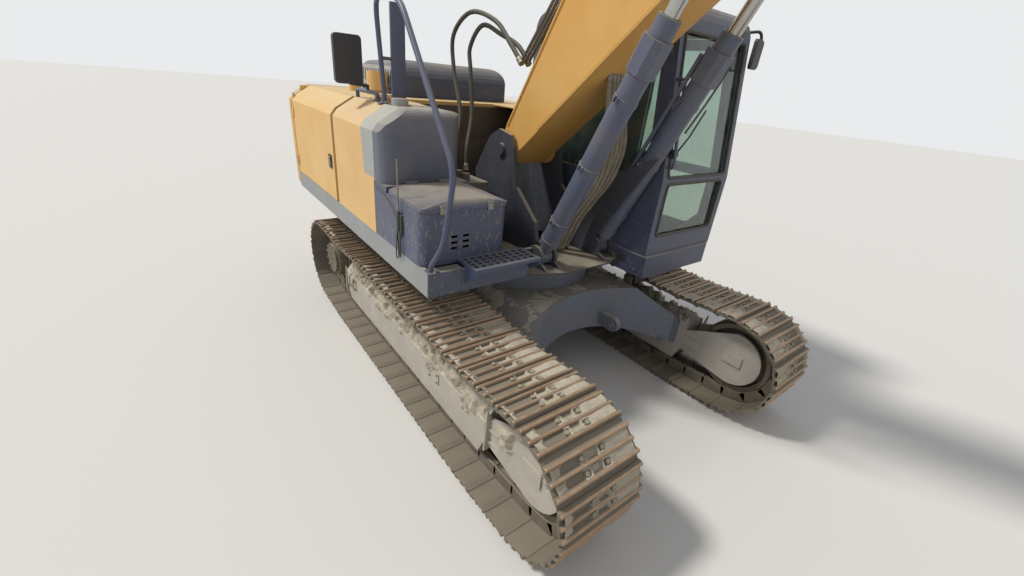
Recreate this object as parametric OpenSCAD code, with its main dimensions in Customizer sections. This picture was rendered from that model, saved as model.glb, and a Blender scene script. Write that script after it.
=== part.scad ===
/* [Tracks] */
// Distance between the middles of the two tracks
track_gauge = 2210; // [2120:10:2390]
// Width of one track shoe
shoe_width = 600; // [500:10:700]
// Distance from the sprocket's axle to the idler's axle
wheel_base = 3500; // [3440:10:3600]
// Height of both axles above the ground
wheel_axis_z = 470; // [462:1:480]
// Length of one link
link_pitch = 190; // [184:1:196]
// Links that would go once round the sprocket
drive_links = 12; // [12:1:12]
// Height of a grouser above its shoe plate
grouser_h = 26; // [18:1:32]
// Thickness of a shoe plate
shoe_plate = 10; // [8:1:14]
// Height of a link's rail below its pin
link_below = 50; // [44:1:54]
// Height of a link above its pin, up to the shoe plate
link_above = 42; // [38:1:46]
// Thickness of one link rail
link_thick = 40; // [30:1:44]
// Number of bottom rollers on each side
bottom_rollers = 8; // [6:1:8]
// Radius of a bottom roller's tread
roller_r = 80; // [70:1:84]
// Width of the box section that carries the rollers
track_box_w = 300; // [280:5:320]

/* [Undercarriage] */
// Height of the centre frame's top plate
frame_top_z = 880; // [860:5:900]
// Clear height under the swivel cover
ground_gap = 470; // [440:5:490]
// Thickness of the frame's plates
frame_plate = 25; // [16:1:30]
// Outer radius of the swing bearing
swing_ring_r = 650; // [600:5:680]
// Radius of the towing eye's hole
tow_hole_r = 32; // [24:1:40]

/* [Upper deck] */
// Half of the deck's width
deck_half_w = 1370; // [1350:5:1385]
// Height of the deck's lower edge
deck_z = 1130; // [1115:5:1145]
// Height of the side channel
skirt_h = 167; // [150:1:180]
// Distance from the swing axis to the deck's front edge on the right
deck_front_x = 740; // [720:5:760]
// Distance from the swing axis back to the counterweight's joint
seam_x = 2450; // [2400:5:2500]
// Radius of the tail
tail_r = 2900; // [2850:5:2950]
// Height of the housing's flat top
house_top_z = 2195; // [2170:5:2220]
// Height at which the side panels bend inwards
shoulder_z = 2040; // [2000:5:2060]
// Thickness of the deck's plate
deck_t = 14; // [10:1:25]
// Thickness of a door or side panel
panel_t = 25; // [18:1:30]
// Height of the counterweight's lower face
tail_z = 1075; // [1050:5:1100]

/* [Cab] */
// Distance from the swing axis to the cab's front
cab_front_x = 1064; // [1040:4:1080]
// Distance from the swing axis back to the cab's rear wall
cab_rear_x = 620; // [600:5:640]
// Right side of the cab
cab_right_y = 405; // [400:1:412]
// Left side of the cab
cab_left_y = 1346; // [1330:2:1350]
// Height of the cab's roof
cab_top_z = 3060; // [3000:10:3080]
// Thickness of the cab's walls
cab_wall = 50; // [45:1:65]

/* [Boom] */
// Distance from the boom's foot pin to its tip pin
boom_len = 5680; // [5500:10:5800]
// Angle of the line between those pins above the ground
boom_rise = 20; // [18:0.5:22]
// Height of the foot pin
foot_z = 1910; // [1895:5:1925]
// Distance from the swing axis back to the foot pin
foot_back = 90; // [80:5:100]
// Width of the boom's box section
boom_w = 430; // [400:5:450]
// Thickness of the boom's plates
boom_plate = 12; // [10:1:16]
// Distance between the middles of the two boom cylinders
boom_cyl_gap = 640; // [630:2:650]

/* [Arm and bucket] */
// Distance from the arm's pivot to the bucket pin
arm_len = 2910; // [2850:10:2960]
// Width of the arm's box section
arm_w = 300; // [280:5:320]
// Thickness of the arm's plates
arm_plate = 12; // [10:1:16]
// Distance from the arm's pivot to the arm cylinder's pin
arm_ear_len = 850; // [830:5:870]
// Distance from the bucket pin to the tooth tips
bucket_reach = 1480; // [1440:10:1500]
// Width of the bucket over its side plates
bucket_w = 1160; // [1000:10:1250]
// Thickness of the bucket's shell
bucket_plate = 20; // [14:1:26]
// Number of bucket teeth
bucket_teeth = 5; // [4:1:5]
// Distance from the bucket pin to the link pin on the bucket
ear_gap = 430; // [420:2:440]
// Length of the two rocker bars
rocker_len = 620; // [610:2:630]
// Length of the connecting link
link_len = 600; // [590:2:610]

/* [Hidden] */

yellow = "#d9a23a";
blue_grey = "#39445c";
light_grey = "#9ba1a6";
dark = "#2a2c30";
steel = "#6d5f52";
chrome = "#c8ccd0";
glass = "#7fb39a";

seat_gap = 0.3;
pin_play = 0.3;
move_gap = 6;
fine = 48;

// Points and turns in the plane of a side view, where a place is [x, z]
function along(from, angle, length) = [from[0] + length * cos(angle), from[1] + length * sin(angle)];
function heading(from, to) = atan2(to[1] - from[1], to[0] - from[0]);
function arc(middle, r, from, to, steps) =
    [for (i = [0:steps]) along(middle, from + (to - from) * i / steps, r)];
function mid(a, b) = (a + b) / 2;

// A side view profile made into a plate from y0 to y1
module plate_y(y0, y1) {
    translate([0, y1, 0]) rotate([90, 0, 0]) linear_extrude(y1 - y0) children();
}
// The same plate on both sides of the middle
module plates_y(y0, y1) {
    plate_y(y0, y1) children();
    plate_y(-y1, -y0) children();
}
// A front view profile, [y, z], made into a bar from x0 to x1
module bar_x(x0, x1) {
    translate([x0, 0, 0]) rotate([90, 0, 90]) linear_extrude(x1 - x0) children();
}
// A round bar across the machine
module pin_y(at, r, y0, y1) {
    translate([at[0], y1, at[1]]) rotate([90, 0, 0]) cylinder(r = r, h = y1 - y0, $fn = fine);
}
module pins_y(at, r, y0, y1) {
    pin_y(at, r, y0, y1);
    pin_y(at, r, -y1, -y0);
}
module block(low, high) {
    translate(low) cube(high - low);
}
// A round tube through a list of points in space
module pipe(points, r, sides = 24) {
    for (i = [0:len(points) - 2]) {
        way = points[i + 1] - points[i];
        translate(points[i])
            rotate([0, acos(way[2] / norm(way)), atan2(way[1], way[0])])
                cylinder(r = r, h = norm(way), $fn = sides);
    }
    for (i = [1:len(points) - 2])
        translate(points[i]) sphere(r = r + 0.6, $fn = sides);
}
// A box along X with rounded long edges
module round_box(low, high, r) {
    translate([low[0], 0, 0]) rotate([90, 0, 90]) linear_extrude(high[0] - low[0])
        round_rect([low[1], low[2]], [high[1], high[2]], r);
}
module round_rect(low, high, r) {
    hull()
        for (x = [low[0] + r, high[0] - r], y = [low[1] + r, high[1] - r])
            translate([x, y]) circle(r = r, $fn = 32);
}

// Track: one closed route of the link pins, in links of equal length
track_y = track_gauge / 2;
sprocket_x = -wheel_base / 2 + 5;
idler_x = wheel_base / 2 + 5;
drive_r = drive_links * link_pitch / (2 * PI);
shoe_out = link_above + shoe_plate + grouser_h;
low_pin_z = shoe_out;
dip = 4.4;
run_end_x = 1260;
carrier_x = [-520, 560];
carrier_z = wheel_axis_z + drive_r - 6;
sag = 24;
track_route = concat(
    arc([idler_x, wheel_axis_z], drive_r, 90, -90 - dip, 56),
    [[run_end_x, low_pin_z], [-run_end_x, low_pin_z]],
    arc([sprocket_x, wheel_axis_z], drive_r, -90 + dip, -270, 56),
    [[(sprocket_x + carrier_x[0]) / 2, carrier_z - sag], [carrier_x[0], carrier_z],
     [(carrier_x[0] + carrier_x[1]) / 2, carrier_z - sag], [carrier_x[1], carrier_z],
     [(carrier_x[1] + idler_x) / 2, carrier_z - sag], [idler_x, wheel_axis_z + drive_r]]);
route_len = [for (i = 0, s = 0; i < len(track_route);
    s = s + (i + 1 < len(track_route) ? norm(track_route[i + 1] - track_route[i]) : 0), i = i + 1) s];
route_total = route_len[len(route_len) - 1];
shoes = round(route_total / link_pitch);
shoe_pitch = route_total / shoes;
route_x = [for (i = [0:len(track_route) - 1]) [route_len[i], track_route[i][0]]];
route_z = [for (i = [0:len(track_route) - 1]) [route_len[i], track_route[i][1]]];
function link_pin(i) = let(s = (i % shoes) * shoe_pitch) [lookup(s, route_x), lookup(s, route_z)];
// A place on link i, from its middle: along the link and out from it
function on_link(i, forward, out) = let(a = link_pin(i), b = link_pin(i + 1), h = heading(a, b))
    along(along(mid(a, b), h, forward), h + 90, out);
function link_corner(i, out) = let(a = link_pin(i + shoes - 1), b = link_pin(i), c = link_pin(i + 1),
    h = heading(a, b) + ((heading(b, c) - heading(a, b) + 540) % 360 - 180) / 2) along(b, h + 90, out);
plate_out = link_above + shoe_plate;
half_shoe = link_pitch / 2 - 4;
// Shoe outline: distance along the link, height above the plate
shoe_line = [[-half_shoe, 0], [-half_shoe + 5, grouser_h], [-half_shoe + 15, grouser_h],
    [-half_shoe + 26, 0], [-12, 0], [0, grouser_h - 3], [12, 0],
    [half_shoe - 26, 0], [half_shoe - 15, grouser_h], [half_shoe - 5, grouser_h], [half_shoe, 0]];
rail_in = 55;
rail_out = rail_in + link_thick;
tread_r = drive_r * cos(shoe_pitch / drive_r * 90 / PI) - link_below - seat_gap - 0.3;
roller_z = low_pin_z + link_below + roller_r + seat_gap;
roller_x = [for (i = [0:bottom_rollers - 1]) -1150 + 2300 * i / (bottom_rollers - 1)];

module track(side) {
    color(steel) translate([0, side * track_y, 0]) {
        plate_y(-shoe_width / 2, shoe_width / 2) difference() {
            polygon([for (i = [0:shoes - 1], p = shoe_line) on_link(i, p[0], plate_out + p[1])]);
            polygon([for (i = [0:shoes - 1]) link_corner(i, link_above)]);
        }
        plates_y(rail_in, rail_out) difference() {
            polygon([for (i = [0:shoes - 1]) link_corner(i, link_above + shoe_plate / 2)]);
            polygon([for (i = [0:shoes - 1]) link_corner(i, -link_below)]);
        }
    }
}

// Sprocket teeth run between the rails, the final drive fills the hub
sprocket_teeth = 24;
tooth_tip_r = drive_r + 16;
tooth_root_r = drive_r - 24;
sprocket_t = 56;
hub_r = 245;
cover_r = 200;
hub_in = 150;
hub_out = 190;
module sprocket(side) {
    at = [sprocket_x, wheel_axis_z];
    translate([0, side * track_y, 0]) mirror([0, side > 0 ? 0 : 1, 0]) {
        plate_y(-sprocket_t / 2, sprocket_t / 2) difference() {
            polygon([for (i = [0:sprocket_teeth - 1], t = [[-0.30, 0], [-0.14, 1], [0.14, 1], [0.30, 0]])
                along(at, (i + t[0]) * 360 / sprocket_teeth,
                    t[1] > 0 ? tooth_tip_r : tooth_root_r)]);
            for (i = [0:7]) translate(along(at, i * 45, hub_r + 34)) circle(r = 14, $fn = 24);
        }
        pin_y(at, hub_r, -hub_in, sprocket_t / 2 + 40);
        pin_y(at, cover_r, sprocket_t / 2 + 40, hub_out - 30);
        pin_y(at, cover_r - 40, hub_out - 30, hub_out);
    }
}
module sprockets() {
    color(steel) for (side = [-1, 1]) sprocket(side);
}

// Idler: a tread under the rails, a guide flange between them, dished sides
idler_flange_r = tread_r + 24;
idler_half_w = rail_out - 1;
idler_hub_r = 70;
module idler(side) {
    translate([idler_x, side * track_y, wheel_axis_z]) rotate([90, 0, 0])
        rotate_extrude($fn = 72) polygon([[0, -idler_half_w - 14], [idler_hub_r, -idler_half_w - 14],
            [idler_hub_r, -26], [tread_r - 44, -22], [tread_r - 36, -idler_half_w],
            [tread_r, -idler_half_w], [tread_r, -rail_in + 4], [idler_flange_r, -rail_in + 12],
            [idler_flange_r, rail_in - 12], [tread_r, rail_in - 4], [tread_r, idler_half_w],
            [tread_r - 36, idler_half_w], [tread_r - 44, 22], [idler_hub_r, 26],
            [idler_hub_r, idler_half_w + 14], [0, idler_half_w + 14]]);
}
module idlers() {
    color(steel) for (side = [-1, 1]) idler(side);
}

// Bottom rollers and the two carrier rollers of one side
flange_r = roller_r + 16;
roller_half_w = 112;
axle_r = 32;
skirt_in = track_box_w / 2 - 22;
carrier_r = 62;
carrier_roller_z = carrier_z - link_below - carrier_r - 4.6;
module rollers(side) {
    color(steel) translate([0, side * track_y, 0]) {
        for (x = roller_x) translate([x, 0, roller_z]) rotate([90, 0, 0])
            rotate_extrude($fn = 40) polygon([[0, -skirt_in + seat_gap], [axle_r, -skirt_in + seat_gap],
                [axle_r, -roller_half_w], [flange_r, -roller_half_w], [flange_r - 2, -rail_out - 2],
                [roller_r, -rail_out - 1], [roller_r, rail_out + 1], [flange_r - 2, rail_out + 2],
                [flange_r, roller_half_w], [axle_r, roller_half_w], [axle_r, skirt_in - seat_gap],
                [0, skirt_in - seat_gap]]);
        for (x = carrier_x) {
            pin_y([x, carrier_roller_z], carrier_r, -rail_out - 4, rail_out + 4);
            pin_y([x, carrier_roller_z], axle_r, -track_box_w / 2 + 31, rail_out + 20);
        }
    }
}

// Track frame: box with sloping shoulders, side skirts over the rollers, yoke round the idler
box_low_z = roller_z + flange_r + 8;
box_top_z = 590;
box_end_x = 1300;
box_rear_x = -1350;
motor_front_x = -1240;
frame_skirt_z = roller_z - 20;
yoke_in = idler_half_w + 14 + seat_gap;
yoke_out = yoke_in + 22;
yoke_r = 235;
cheek_t = 24;
module track_frame(side) {
    color(blue_grey) translate([0, side * track_y, 0]) mirror([0, side > 0 ? 0 : 1, 0]) {
        difference() {
            union() {
                bar_x(box_rear_x, box_end_x) polygon([[-track_box_w / 2, box_low_z],
                    [track_box_w / 2, box_low_z], [track_box_w / 2, box_top_z - 110],
                    [track_box_w / 2 - 95, box_top_z], [-track_box_w / 2, box_top_z]]);
                plates_y(skirt_in, track_box_w / 2) polygon([[-1320, box_low_z + 10],
                    [-1270, frame_skirt_z], [1240, frame_skirt_z], [1300, box_low_z + 10]]);
            }
            bar_x(box_rear_x + 30, box_end_x - 30)
                polygon([[-track_box_w / 2 + 20, box_low_z + 20], [track_box_w / 2 - 20, box_low_z + 20],
                    [track_box_w / 2 - 20, box_top_z - 120], [track_box_w / 2 - 105, box_top_z - 20],
                    [-track_box_w / 2 + 20, box_top_z - 20]]);
        }
        plates_y(yoke_in, yoke_out) difference() {
            polygon(concat([[box_end_x - 70, box_low_z + 5]],
                arc([idler_x, wheel_axis_z], yoke_r, -95, 95, 14), [[box_end_x - 70, box_top_z - 112]]));
        }
        // Slide blocks on the idler's axle, gussets where the yoke leaves the box
        plates_y(yoke_out - 1, yoke_out + 13) polygon([for (a = [30, 150, 210, 330])
            along([idler_x, wheel_axis_z], a, 96)]);
        for (s = [-1, 1], z = [box_low_z + 30, box_top_z - 150]) translate([0, 0, z]) linear_extrude(16)
            polygon([[box_end_x - 8, s * (yoke_out - 1)], [box_end_x + 180, s * (yoke_out - 1)],
                [box_end_x - 8, s * (track_box_w / 2 - 3)]]);
        for (x = carrier_x)
            block([x - 45, -track_box_w / 2, box_top_z - 5],
                [x + 45, -track_box_w / 2 + 30.5, carrier_roller_z + 45]);
        // Motor plate that holds the final drive on the inner side
        plate_y(-hub_in - 30, -hub_in - seat_gap) polygon(concat([[motor_front_x, box_low_z + 20]],
            [[motor_front_x, box_top_z - 30]],
            arc([sprocket_x, wheel_axis_z], hub_r + 18, 80, 280, 14)));
        block([box_rear_x + 20, -hub_in - 20, box_low_z + 20],
            [motor_front_x, -track_box_w / 2 + 5, box_top_z - 30]);
    }
}

// Centre frame: four arched arms on a turret, hollow, with a towing eye in front
arm_end_y = track_y - track_box_w / 2 - seat_gap;
turret_r = swing_ring_r - 25;
ring_z = deck_z - 110;
belly_r = 300;
arch_front_x = 790;
arch_side_x = 1230;
arch_r = (pow(arch_side_x - arch_front_x, 2) + pow(820, 2)) / (2 * (arch_side_x - arch_front_x));
under_z = 515;
under_side_z = 345;
under_r = (pow(arm_end_y, 2) + pow(under_z - under_side_z, 2)) / (2 * (under_z - under_side_z));
side_notch_x = 380;
module frame_plan(inset) {
    difference() {
        square([2 * (arch_side_x - inset), 2 * (arm_end_y - (inset > 0 ? 4 : 0))], center = true);
        for (s = [-1, 1]) {
            translate([s * (arch_front_x + arch_r), 0]) circle(r = arch_r + inset, $fn = 180);
            polygon([[-side_notch_x - inset, s * 1100], [side_notch_x + inset, s * 1100],
                [side_notch_x - 150 + inset, s * (640 - inset)],
                [-side_notch_x + 150 - inset, s * (640 - inset)]]);
        }
    }
}
module frame_front_view(inset) {
    difference() {
        polygon([[-arm_end_y, 250], [arm_end_y, 250], [arm_end_y, 585 - inset],
            [arm_end_y - 40, 600 - inset], [560, frame_top_z - inset], [-560, frame_top_z - inset],
            [-arm_end_y + 40, 600 - inset], [-arm_end_y, 585 - inset]]);
        translate([0, under_z - under_r]) circle(r = under_r + inset, $fn = 200);
    }
}
tow_x = arch_front_x + 190;
tow_z = 600;
tow_y = [270, 320];
module x_frame() {
    color(blue_grey) {
        difference() {
            union() {
                intersection() {
                    translate([0, 0, 200]) linear_extrude(800) frame_plan(0);
                    bar_x(-1500, 1500) frame_front_view(0);
                }
                translate([0, 0, frame_top_z - 5]) cylinder(r = turret_r, h = ring_z - frame_top_z + 5,
                    $fn = 96);
                translate([0, 0, ground_gap]) cylinder(r = belly_r, h = 90, $fn = 64);
            }
            intersection() {
                translate([0, 0, 200]) linear_extrude(800) frame_plan(frame_plate);
                bar_x(-1500, 1500) frame_front_view(frame_plate);
            }
            translate([0, 0, ground_gap - 1]) cylinder(r = 160, h = 700, $fn = 48);
            translate([0, 0, frame_top_z - 60]) cylinder(r = turret_r - 60, h = 300, $fn = 96);
        }
        difference() {
            union() {
                pin_y([tow_x, tow_z], tow_hole_r + 34, tow_y[0], tow_y[1]);
                block([arch_front_x + 15, tow_y[0], tow_z - 62], [tow_x, tow_y[1], tow_z + 62]);
            }
            pin_y([tow_x, tow_z], tow_hole_r, tow_y[0] - 1, tow_y[1] + 1);
        }
        // Stub that carries the step on the left arm
        pin_y([arch_side_x - 60, 420], 34, arm_end_y - 190, arm_end_y - 20);
    }
}
module slew_ring() {
    color(steel) translate([0, 0, ring_z + seat_gap]) difference() {
        union() {
            cylinder(r = swing_ring_r - 20, h = deck_z - ring_z - 0.9, $fn = 96);
            translate([0, 0, 45]) cylinder(r = swing_ring_r, h = 35, $fn = 96);
        }
        translate([0, 0, -1]) cylinder(r = swing_ring_r - 110, h = 200, $fn = 96);
    }
}

// Places of the front end in side view
foot = [-foot_back, foot_z];
tip = along(foot, boom_rise, boom_len);
function on_boom(s, n) = along(along(foot, boom_rise, s), boom_rise + 90, n);
cyl_foot = [625, 1215];
boom_eye = on_boom(2375, 1064);
cyl_y = boom_cyl_gap / 2;
boom_dir = heading(cyl_foot, boom_eye);
boom_barrel_len = 1750;
arm_dir = 270;
ear_turn = 157.7;
arm_ear = along(tip, arm_dir + ear_turn - 360, arm_ear_len);
arm_foot = on_boom(3050, 1430);
arm_cyl_dir = heading(arm_foot, arm_ear);
arm_barrel_len = 2020;
function on_arm(s, n) = along(along(tip, arm_dir, s), arm_dir + 90, n);
bucket_pin = on_arm(arm_len, 0);
rocker_pin = on_arm(arm_len - 430, 20);
bucket_cyl_foot = on_arm(80, 480);
tip_dir = 211;
ear_dir = -12;
link_ear = along(bucket_pin, ear_dir, ear_gap);
function cross_point(a, ra, b, rb) = let(d = norm(b - a), x = (d * d + ra * ra - rb * rb) / (2 * d),
    h = sqrt(ra * ra - x * x), e = (b - a) / d) [a[0] + e[0] * x - e[1] * h, a[1] + e[1] * x + e[0] * h];
link_top = cross_point(rocker_pin, rocker_len, link_ear, link_len);
bucket_cyl_dir = heading(bucket_cyl_foot, link_top);
bucket_barrel_len = 1680;

// Main frame: deck plate, two girders with the boom's foot, lugs of the boom cylinders
girder_in = boom_w / 2 + move_gap + 14;
girder_t = 34;
beam_w = 34;
foot_pin_r = 50;
deck_top_z = deck_z + skirt_h;
deck_plan = [[-seam_x + 5, -deck_half_w + 14], [deck_front_x - 12, -deck_half_w + 14],
    [deck_front_x - 12, -560], [790, -440], [850, -250], [850, 250], [790, 395],
    [cab_front_x - 60, 395], [cab_front_x - 60, 1130], [cab_front_x - 250, deck_half_w - 14],
    [-seam_x + 5, deck_half_w - 14]];
lug_y = [cyl_y - 82, cyl_y + 56];
beam_top_z = deck_top_z - 20;
module main_frame() {
    color(blue_grey) {
        difference() {
            translate([0, 0, deck_z]) linear_extrude(deck_t) polygon(deck_plan);
            translate([0, 0, deck_z - 1]) cylinder(r = 300, h = 40, $fn = 64);
        }
        plates_y(girder_in, girder_in + girder_t) difference() {
            polygon([[-seam_x - tail_cut + 0.3, deck_z + deck_t - 4], [520, deck_z + deck_t - 4],
                [430, 1420], [150, 1640],
                foot + [150, 40], foot + [105, 125], foot + [-60, 155], foot + [-190, 80],
                [-560, 1560], [-1300, 1420], [-1440, engine_low[2] - 10],
                    [-seam_x - tail_cut + 0.3, engine_low[2] - 10]]);
            translate([-1000, 1300]) circle(r = 55, $fn = 32);
        }
        pin_y(foot, foot_pin_r, -girder_in - girder_t - 28, girder_in + girder_t + 28);
        // Lugs of the two boom cylinders, with their pin
        for (s = [-1, 1]) mirror([0, s > 0 ? 0 : 1, 0]) {
            for (y = lug_y) plate_y(y, y + 26) polygon(concat([[330, deck_z + deck_t - 4]],
                arc(cyl_foot, 92, 150, -20, 10), [[800, deck_z + deck_t - 4]]));
            pin_y(cyl_foot, 45, lug_y[0] - 6, lug_y[1] + 26);
            // Hose guard beside the left one
            if (s > 0) plate_y(lug_y[0] - 14, lug_y[0] - 2) polygon([[330, deck_z + deck_t - 4],
                [550, deck_z + deck_t - 4], [1110, 2037], [690, 1838]]);
            block([400, girder_in + 10, deck_z + deck_t - 4], [520, lug_y[0] + 20, deck_z + 150]);
        }
        // Deck beams on the right and the left
        for (x = [-2300, -1500, -760, 0, 560]) {
            inner = x > 500 ? lug_y[1] + 20 : girder_in + girder_t - 1;
            block([x, -deck_half_w + 30, deck_z + deck_t - 4], [x + beam_w, -inner, beam_top_z]);
            block([x, inner, deck_z + deck_t - 4],
                [x + beam_w, deck_half_w - (x > 500 ? 60 : 30), x > -700 ? cab_low_z - 8 : beam_top_z]);
        }
        // Swing gear case with its motor on top, held by a cross beam
        translate([-600, 0, deck_z + deck_t - 4]) cylinder(r = 165, h = 200, $fn = fine);
        translate([-600, 0, deck_z + 205]) cylinder(r = 190, h = 28, $fn = fine);
        translate([-600, 0, deck_z + 230]) cylinder(r = 105, h = 200, $fn = fine);
        block([-660, -girder_in - 1, deck_z + 90], [-540, girder_in + 1, deck_z + 170]);
    }
}

// Side channels with a lip on top
skirt_t = 13;
module skirt_side(y0, x0, x1) {
    block([x0, y0, deck_z], [x1, y0 + skirt_t, deck_top_z]);
    block([x0, y0, deck_top_z - 12], [x1, y0 + post_in - 2, deck_top_z]);
}
module deck_skirt() {
    color(light_grey) {
        skirt_side(-deck_half_w, -seam_x, deck_front_x);
        block([deck_front_x - 11.5, -deck_half_w, deck_z], [deck_front_x, -560, deck_top_z]);
        mirror([0, 1, 0]) skirt_side(-deck_half_w, -seam_x, -cab_rear_x - 12);
        block([-cab_rear_x - 13, deck_half_w - skirt_t, deck_z],
            [cab_front_x - 255, deck_half_w, cab_low_z - 6]);
    }
}

// Cross section of the housing, [y, z], with sloping shoulders
shoulder_in = 200;
function house_section(inset) = [[-deck_half_w + inset, deck_top_z], [-deck_half_w + inset, shoulder_z],
    [-deck_half_w + inset * 0.7 + 40, shoulder_z + 55],
    [-deck_half_w + inset * 0.5 + shoulder_in, house_top_z - inset],
    [deck_half_w - inset * 0.5 - shoulder_in, house_top_z - inset],
    [deck_half_w - inset * 0.7 - 40, shoulder_z + 55],
    [deck_half_w - inset, shoulder_z], [deck_half_w - inset, deck_top_z]];
tail_gap = 6;
tail_deep = tail_r - seam_x;
tail_cut = tail_deep * 12 / 45;
module counterweight() {
    color(yellow) difference() {
        intersection() {
            translate([0, 0, tail_z]) cylinder(r = tail_r, h = 2000, $fn = 160);
            bar_x(-tail_r - 10, -seam_x - tail_gap) polygon(concat([[-deck_half_w + 60, tail_z],
                [-deck_half_w, tail_z + 90]], house_section(0), [[deck_half_w, tail_z + 90],
                [deck_half_w - 60, tail_z]]));
            // Rear view of the tail: upper edge falls away, lower edge is cut back
            plate_y(-1500, 1500) polygon([[-seam_x, tail_z], [-seam_x, house_top_z],
                [-seam_x - tail_deep * 25 / 45, house_top_z], [-tail_r, house_top_z - 240],
                    [-tail_r, tail_z + 170],
                [-tail_r + 150, tail_z]]);
        }
        block([-seam_x - tail_cut, -460, tail_z - 1], [-seam_x, 460, 1500]);
        for (s = [-1, 1]) mirror([0, s > 0 ? 0 : 1, 0])
            block([-seam_x - tail_deep * 29 / 45, 60, 1560], [-seam_x - tail_deep * 6 / 45, 540, 2000]);
        for (s = [-1, 1]) mirror([0, s > 0 ? 0 : 1, 0])
            block([-seam_x - tail_deep * 14 / 45, 500, 1260], [-seam_x - tail_deep * 6 / 45, 1160, 1900]);
        for (y = [-600, 600]) translate([-seam_x - tail_deep * 19 / 45, y, house_top_z - 140])
            cylinder(r = 22, h = 300, $fn = 32);
    }
}

// Engine with its pump, one plain heavy block
engine_low = [-2330, -470, 1300];
engine_high = [-1480, 640, 2060];
module engine_block() {
    color(dark) {
        difference() {
            block(engine_low, engine_high);
            block(engine_low + [26, 26, 26], engine_high - [26, 26, 26]);
        }
        difference() {
            pin_y([-1850, 1620], 190, -900, -469);
            pin_y([-1850, 1620], 165, -875, -495);
        }
        pin_y([-1850, 1620], 60, -1060, -899);
        for (x = [-2240, -1640], y = [-380, 520]) block([x, y, deck_z + deck_t + seat_gap],
            [x + 80, y + 60, 1301]);
    }
}
module radiator() {
    color(dark) {
        difference() {
            block([-2280, deck_half_w - 370, beam_top_z + seat_gap], [-1420, deck_half_w - 150, 2080]);
            block([-2260, deck_half_w - 350, beam_top_z + 20], [-1440, deck_half_w - 170, 2060]);
        }
        for (z = [1330:90:2010]) block([-2240, deck_half_w - 151, z], [-1460, deck_half_w - 138, z + 45]);
    }
}

// Fixed panels: bulkheads, top plate with the hood's opening, posts between the doors
hood_x = [-2330, -1360];
hood_half_y = 640;
hinge_back = 13;
door_rear_x = -seam_x + 22;
pump_front_x = -1076;
battery_x = [-1300, -cab_rear_x - 75];
bulk_x = -1050;
wall_t = 8;
sheet_t = 7;
post_in = 38;
module house_panels() {
    color(yellow) {
        // Top plate
        difference() {
            block([-seam_x + 4, -deck_half_w + shoulder_in + 14, house_top_z - wall_t],
                [bulk_x + wall_t, deck_half_w - shoulder_in - 14, house_top_z]);
            block([hood_x[0] + 40, -hood_half_y + 40, house_top_z - 30],
                [hood_x[1] - 40, hood_half_y - 40, house_top_z + 10]);
        }
        block([bulk_x, girder_in + girder_t + 5, house_top_z - wall_t],
            [-cab_rear_x - 20, deck_half_w - shoulder_in - 14, house_top_z]);
    }
    color(dark) {
        // Front bulkhead, from the tank to the left side, cut out round the girders
        wall_x(bulk_x, -deck_half_w + post_in, deck_half_w - post_in, 1485);
        wall_x(bulk_x, -deck_half_w + post_in, -girder_in - girder_t - 1, deck_z + deck_t + seat_gap);
        wall_x(bulk_x, girder_in + girder_t + 1, deck_half_w - post_in, deck_z + deck_t + seat_gap);
        // Rear bulkhead with its legs beside the doors
        wall_x(-seam_x + 4, -deck_half_w + post_in, deck_half_w - post_in, 1410);
        for (y = [-deck_half_w + post_in, deck_half_w - post_in - 60])
            wall_x(-seam_x + 4, y, y + 60, deck_z + deck_t + seat_gap);
        // Post between the two left doors, and the panel behind the cab
        intersection() {
            bar_x(-1340, -1292) polygon(house_section(post_in));
            block([-1341, deck_half_w - post_in - 60, deck_z + deck_t + seat_gap],
                [-1291, deck_half_w, house_top_z - wall_t + 1]);
        }
        intersection() {
            bar_x(-1340, -1292) difference() {
                polygon(house_section(post_in));
                polygon(house_section(post_in + 60));
            }
            block([-1341, 900, shoulder_z - 30], [-1291, deck_half_w, house_top_z - wall_t + 1]);
        }
        block([-1340, deck_half_w - shoulder_in - 60, house_top_z - 90],
            [-1292, deck_half_w - shoulder_in - 20, house_top_z - wall_t + 1]);
        wall_x(-cab_rear_x - 60, girder_in + girder_t + 5, deck_half_w - post_in, deck_z + deck_t + seat_gap);
        for (z = side_hinge_z) {
            fixed_hinge(door_rear_x - hinge_back, -1, z);
            fixed_hinge(door_rear_x - hinge_back, 1, z);
            fixed_hinge(battery_x[0] - hinge_back, 1, z);
        }
        for (y = hood_hinge_y) {
            pin_y(hood_hinge, hinge_pin_r, y - 15, y + barrel_len + 15);
            for (low = [y - 15, y + barrel_len + seat_gap])
                block([hood_hinge[0] - 8, low, house_top_z - 1],
                    [hood_hinge[0] + 6, low + 14.7, hood_hinge[1] + 8]);
        }
    }
}
// A wall across the housing, kept inside its sloping shoulders
module wall_x(x, y0, y1, z0) {
    intersection() {
        bar_x(x, x + wall_t) polygon(concat([[-deck_half_w + post_in, 1000]],
            house_section(post_in), [[deck_half_w - post_in, 1000]]));
        block([x - 1, y0, z0], [x + wall_t + 1, y1, house_top_z - wall_t + 1]);
    }
    block([x, max(y0, -deck_half_w + shoulder_in + 20), house_top_z - 60],
        [x + wall_t, min(y1, deck_half_w - shoulder_in - 20), house_top_z - wall_t + 1]);
}

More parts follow.
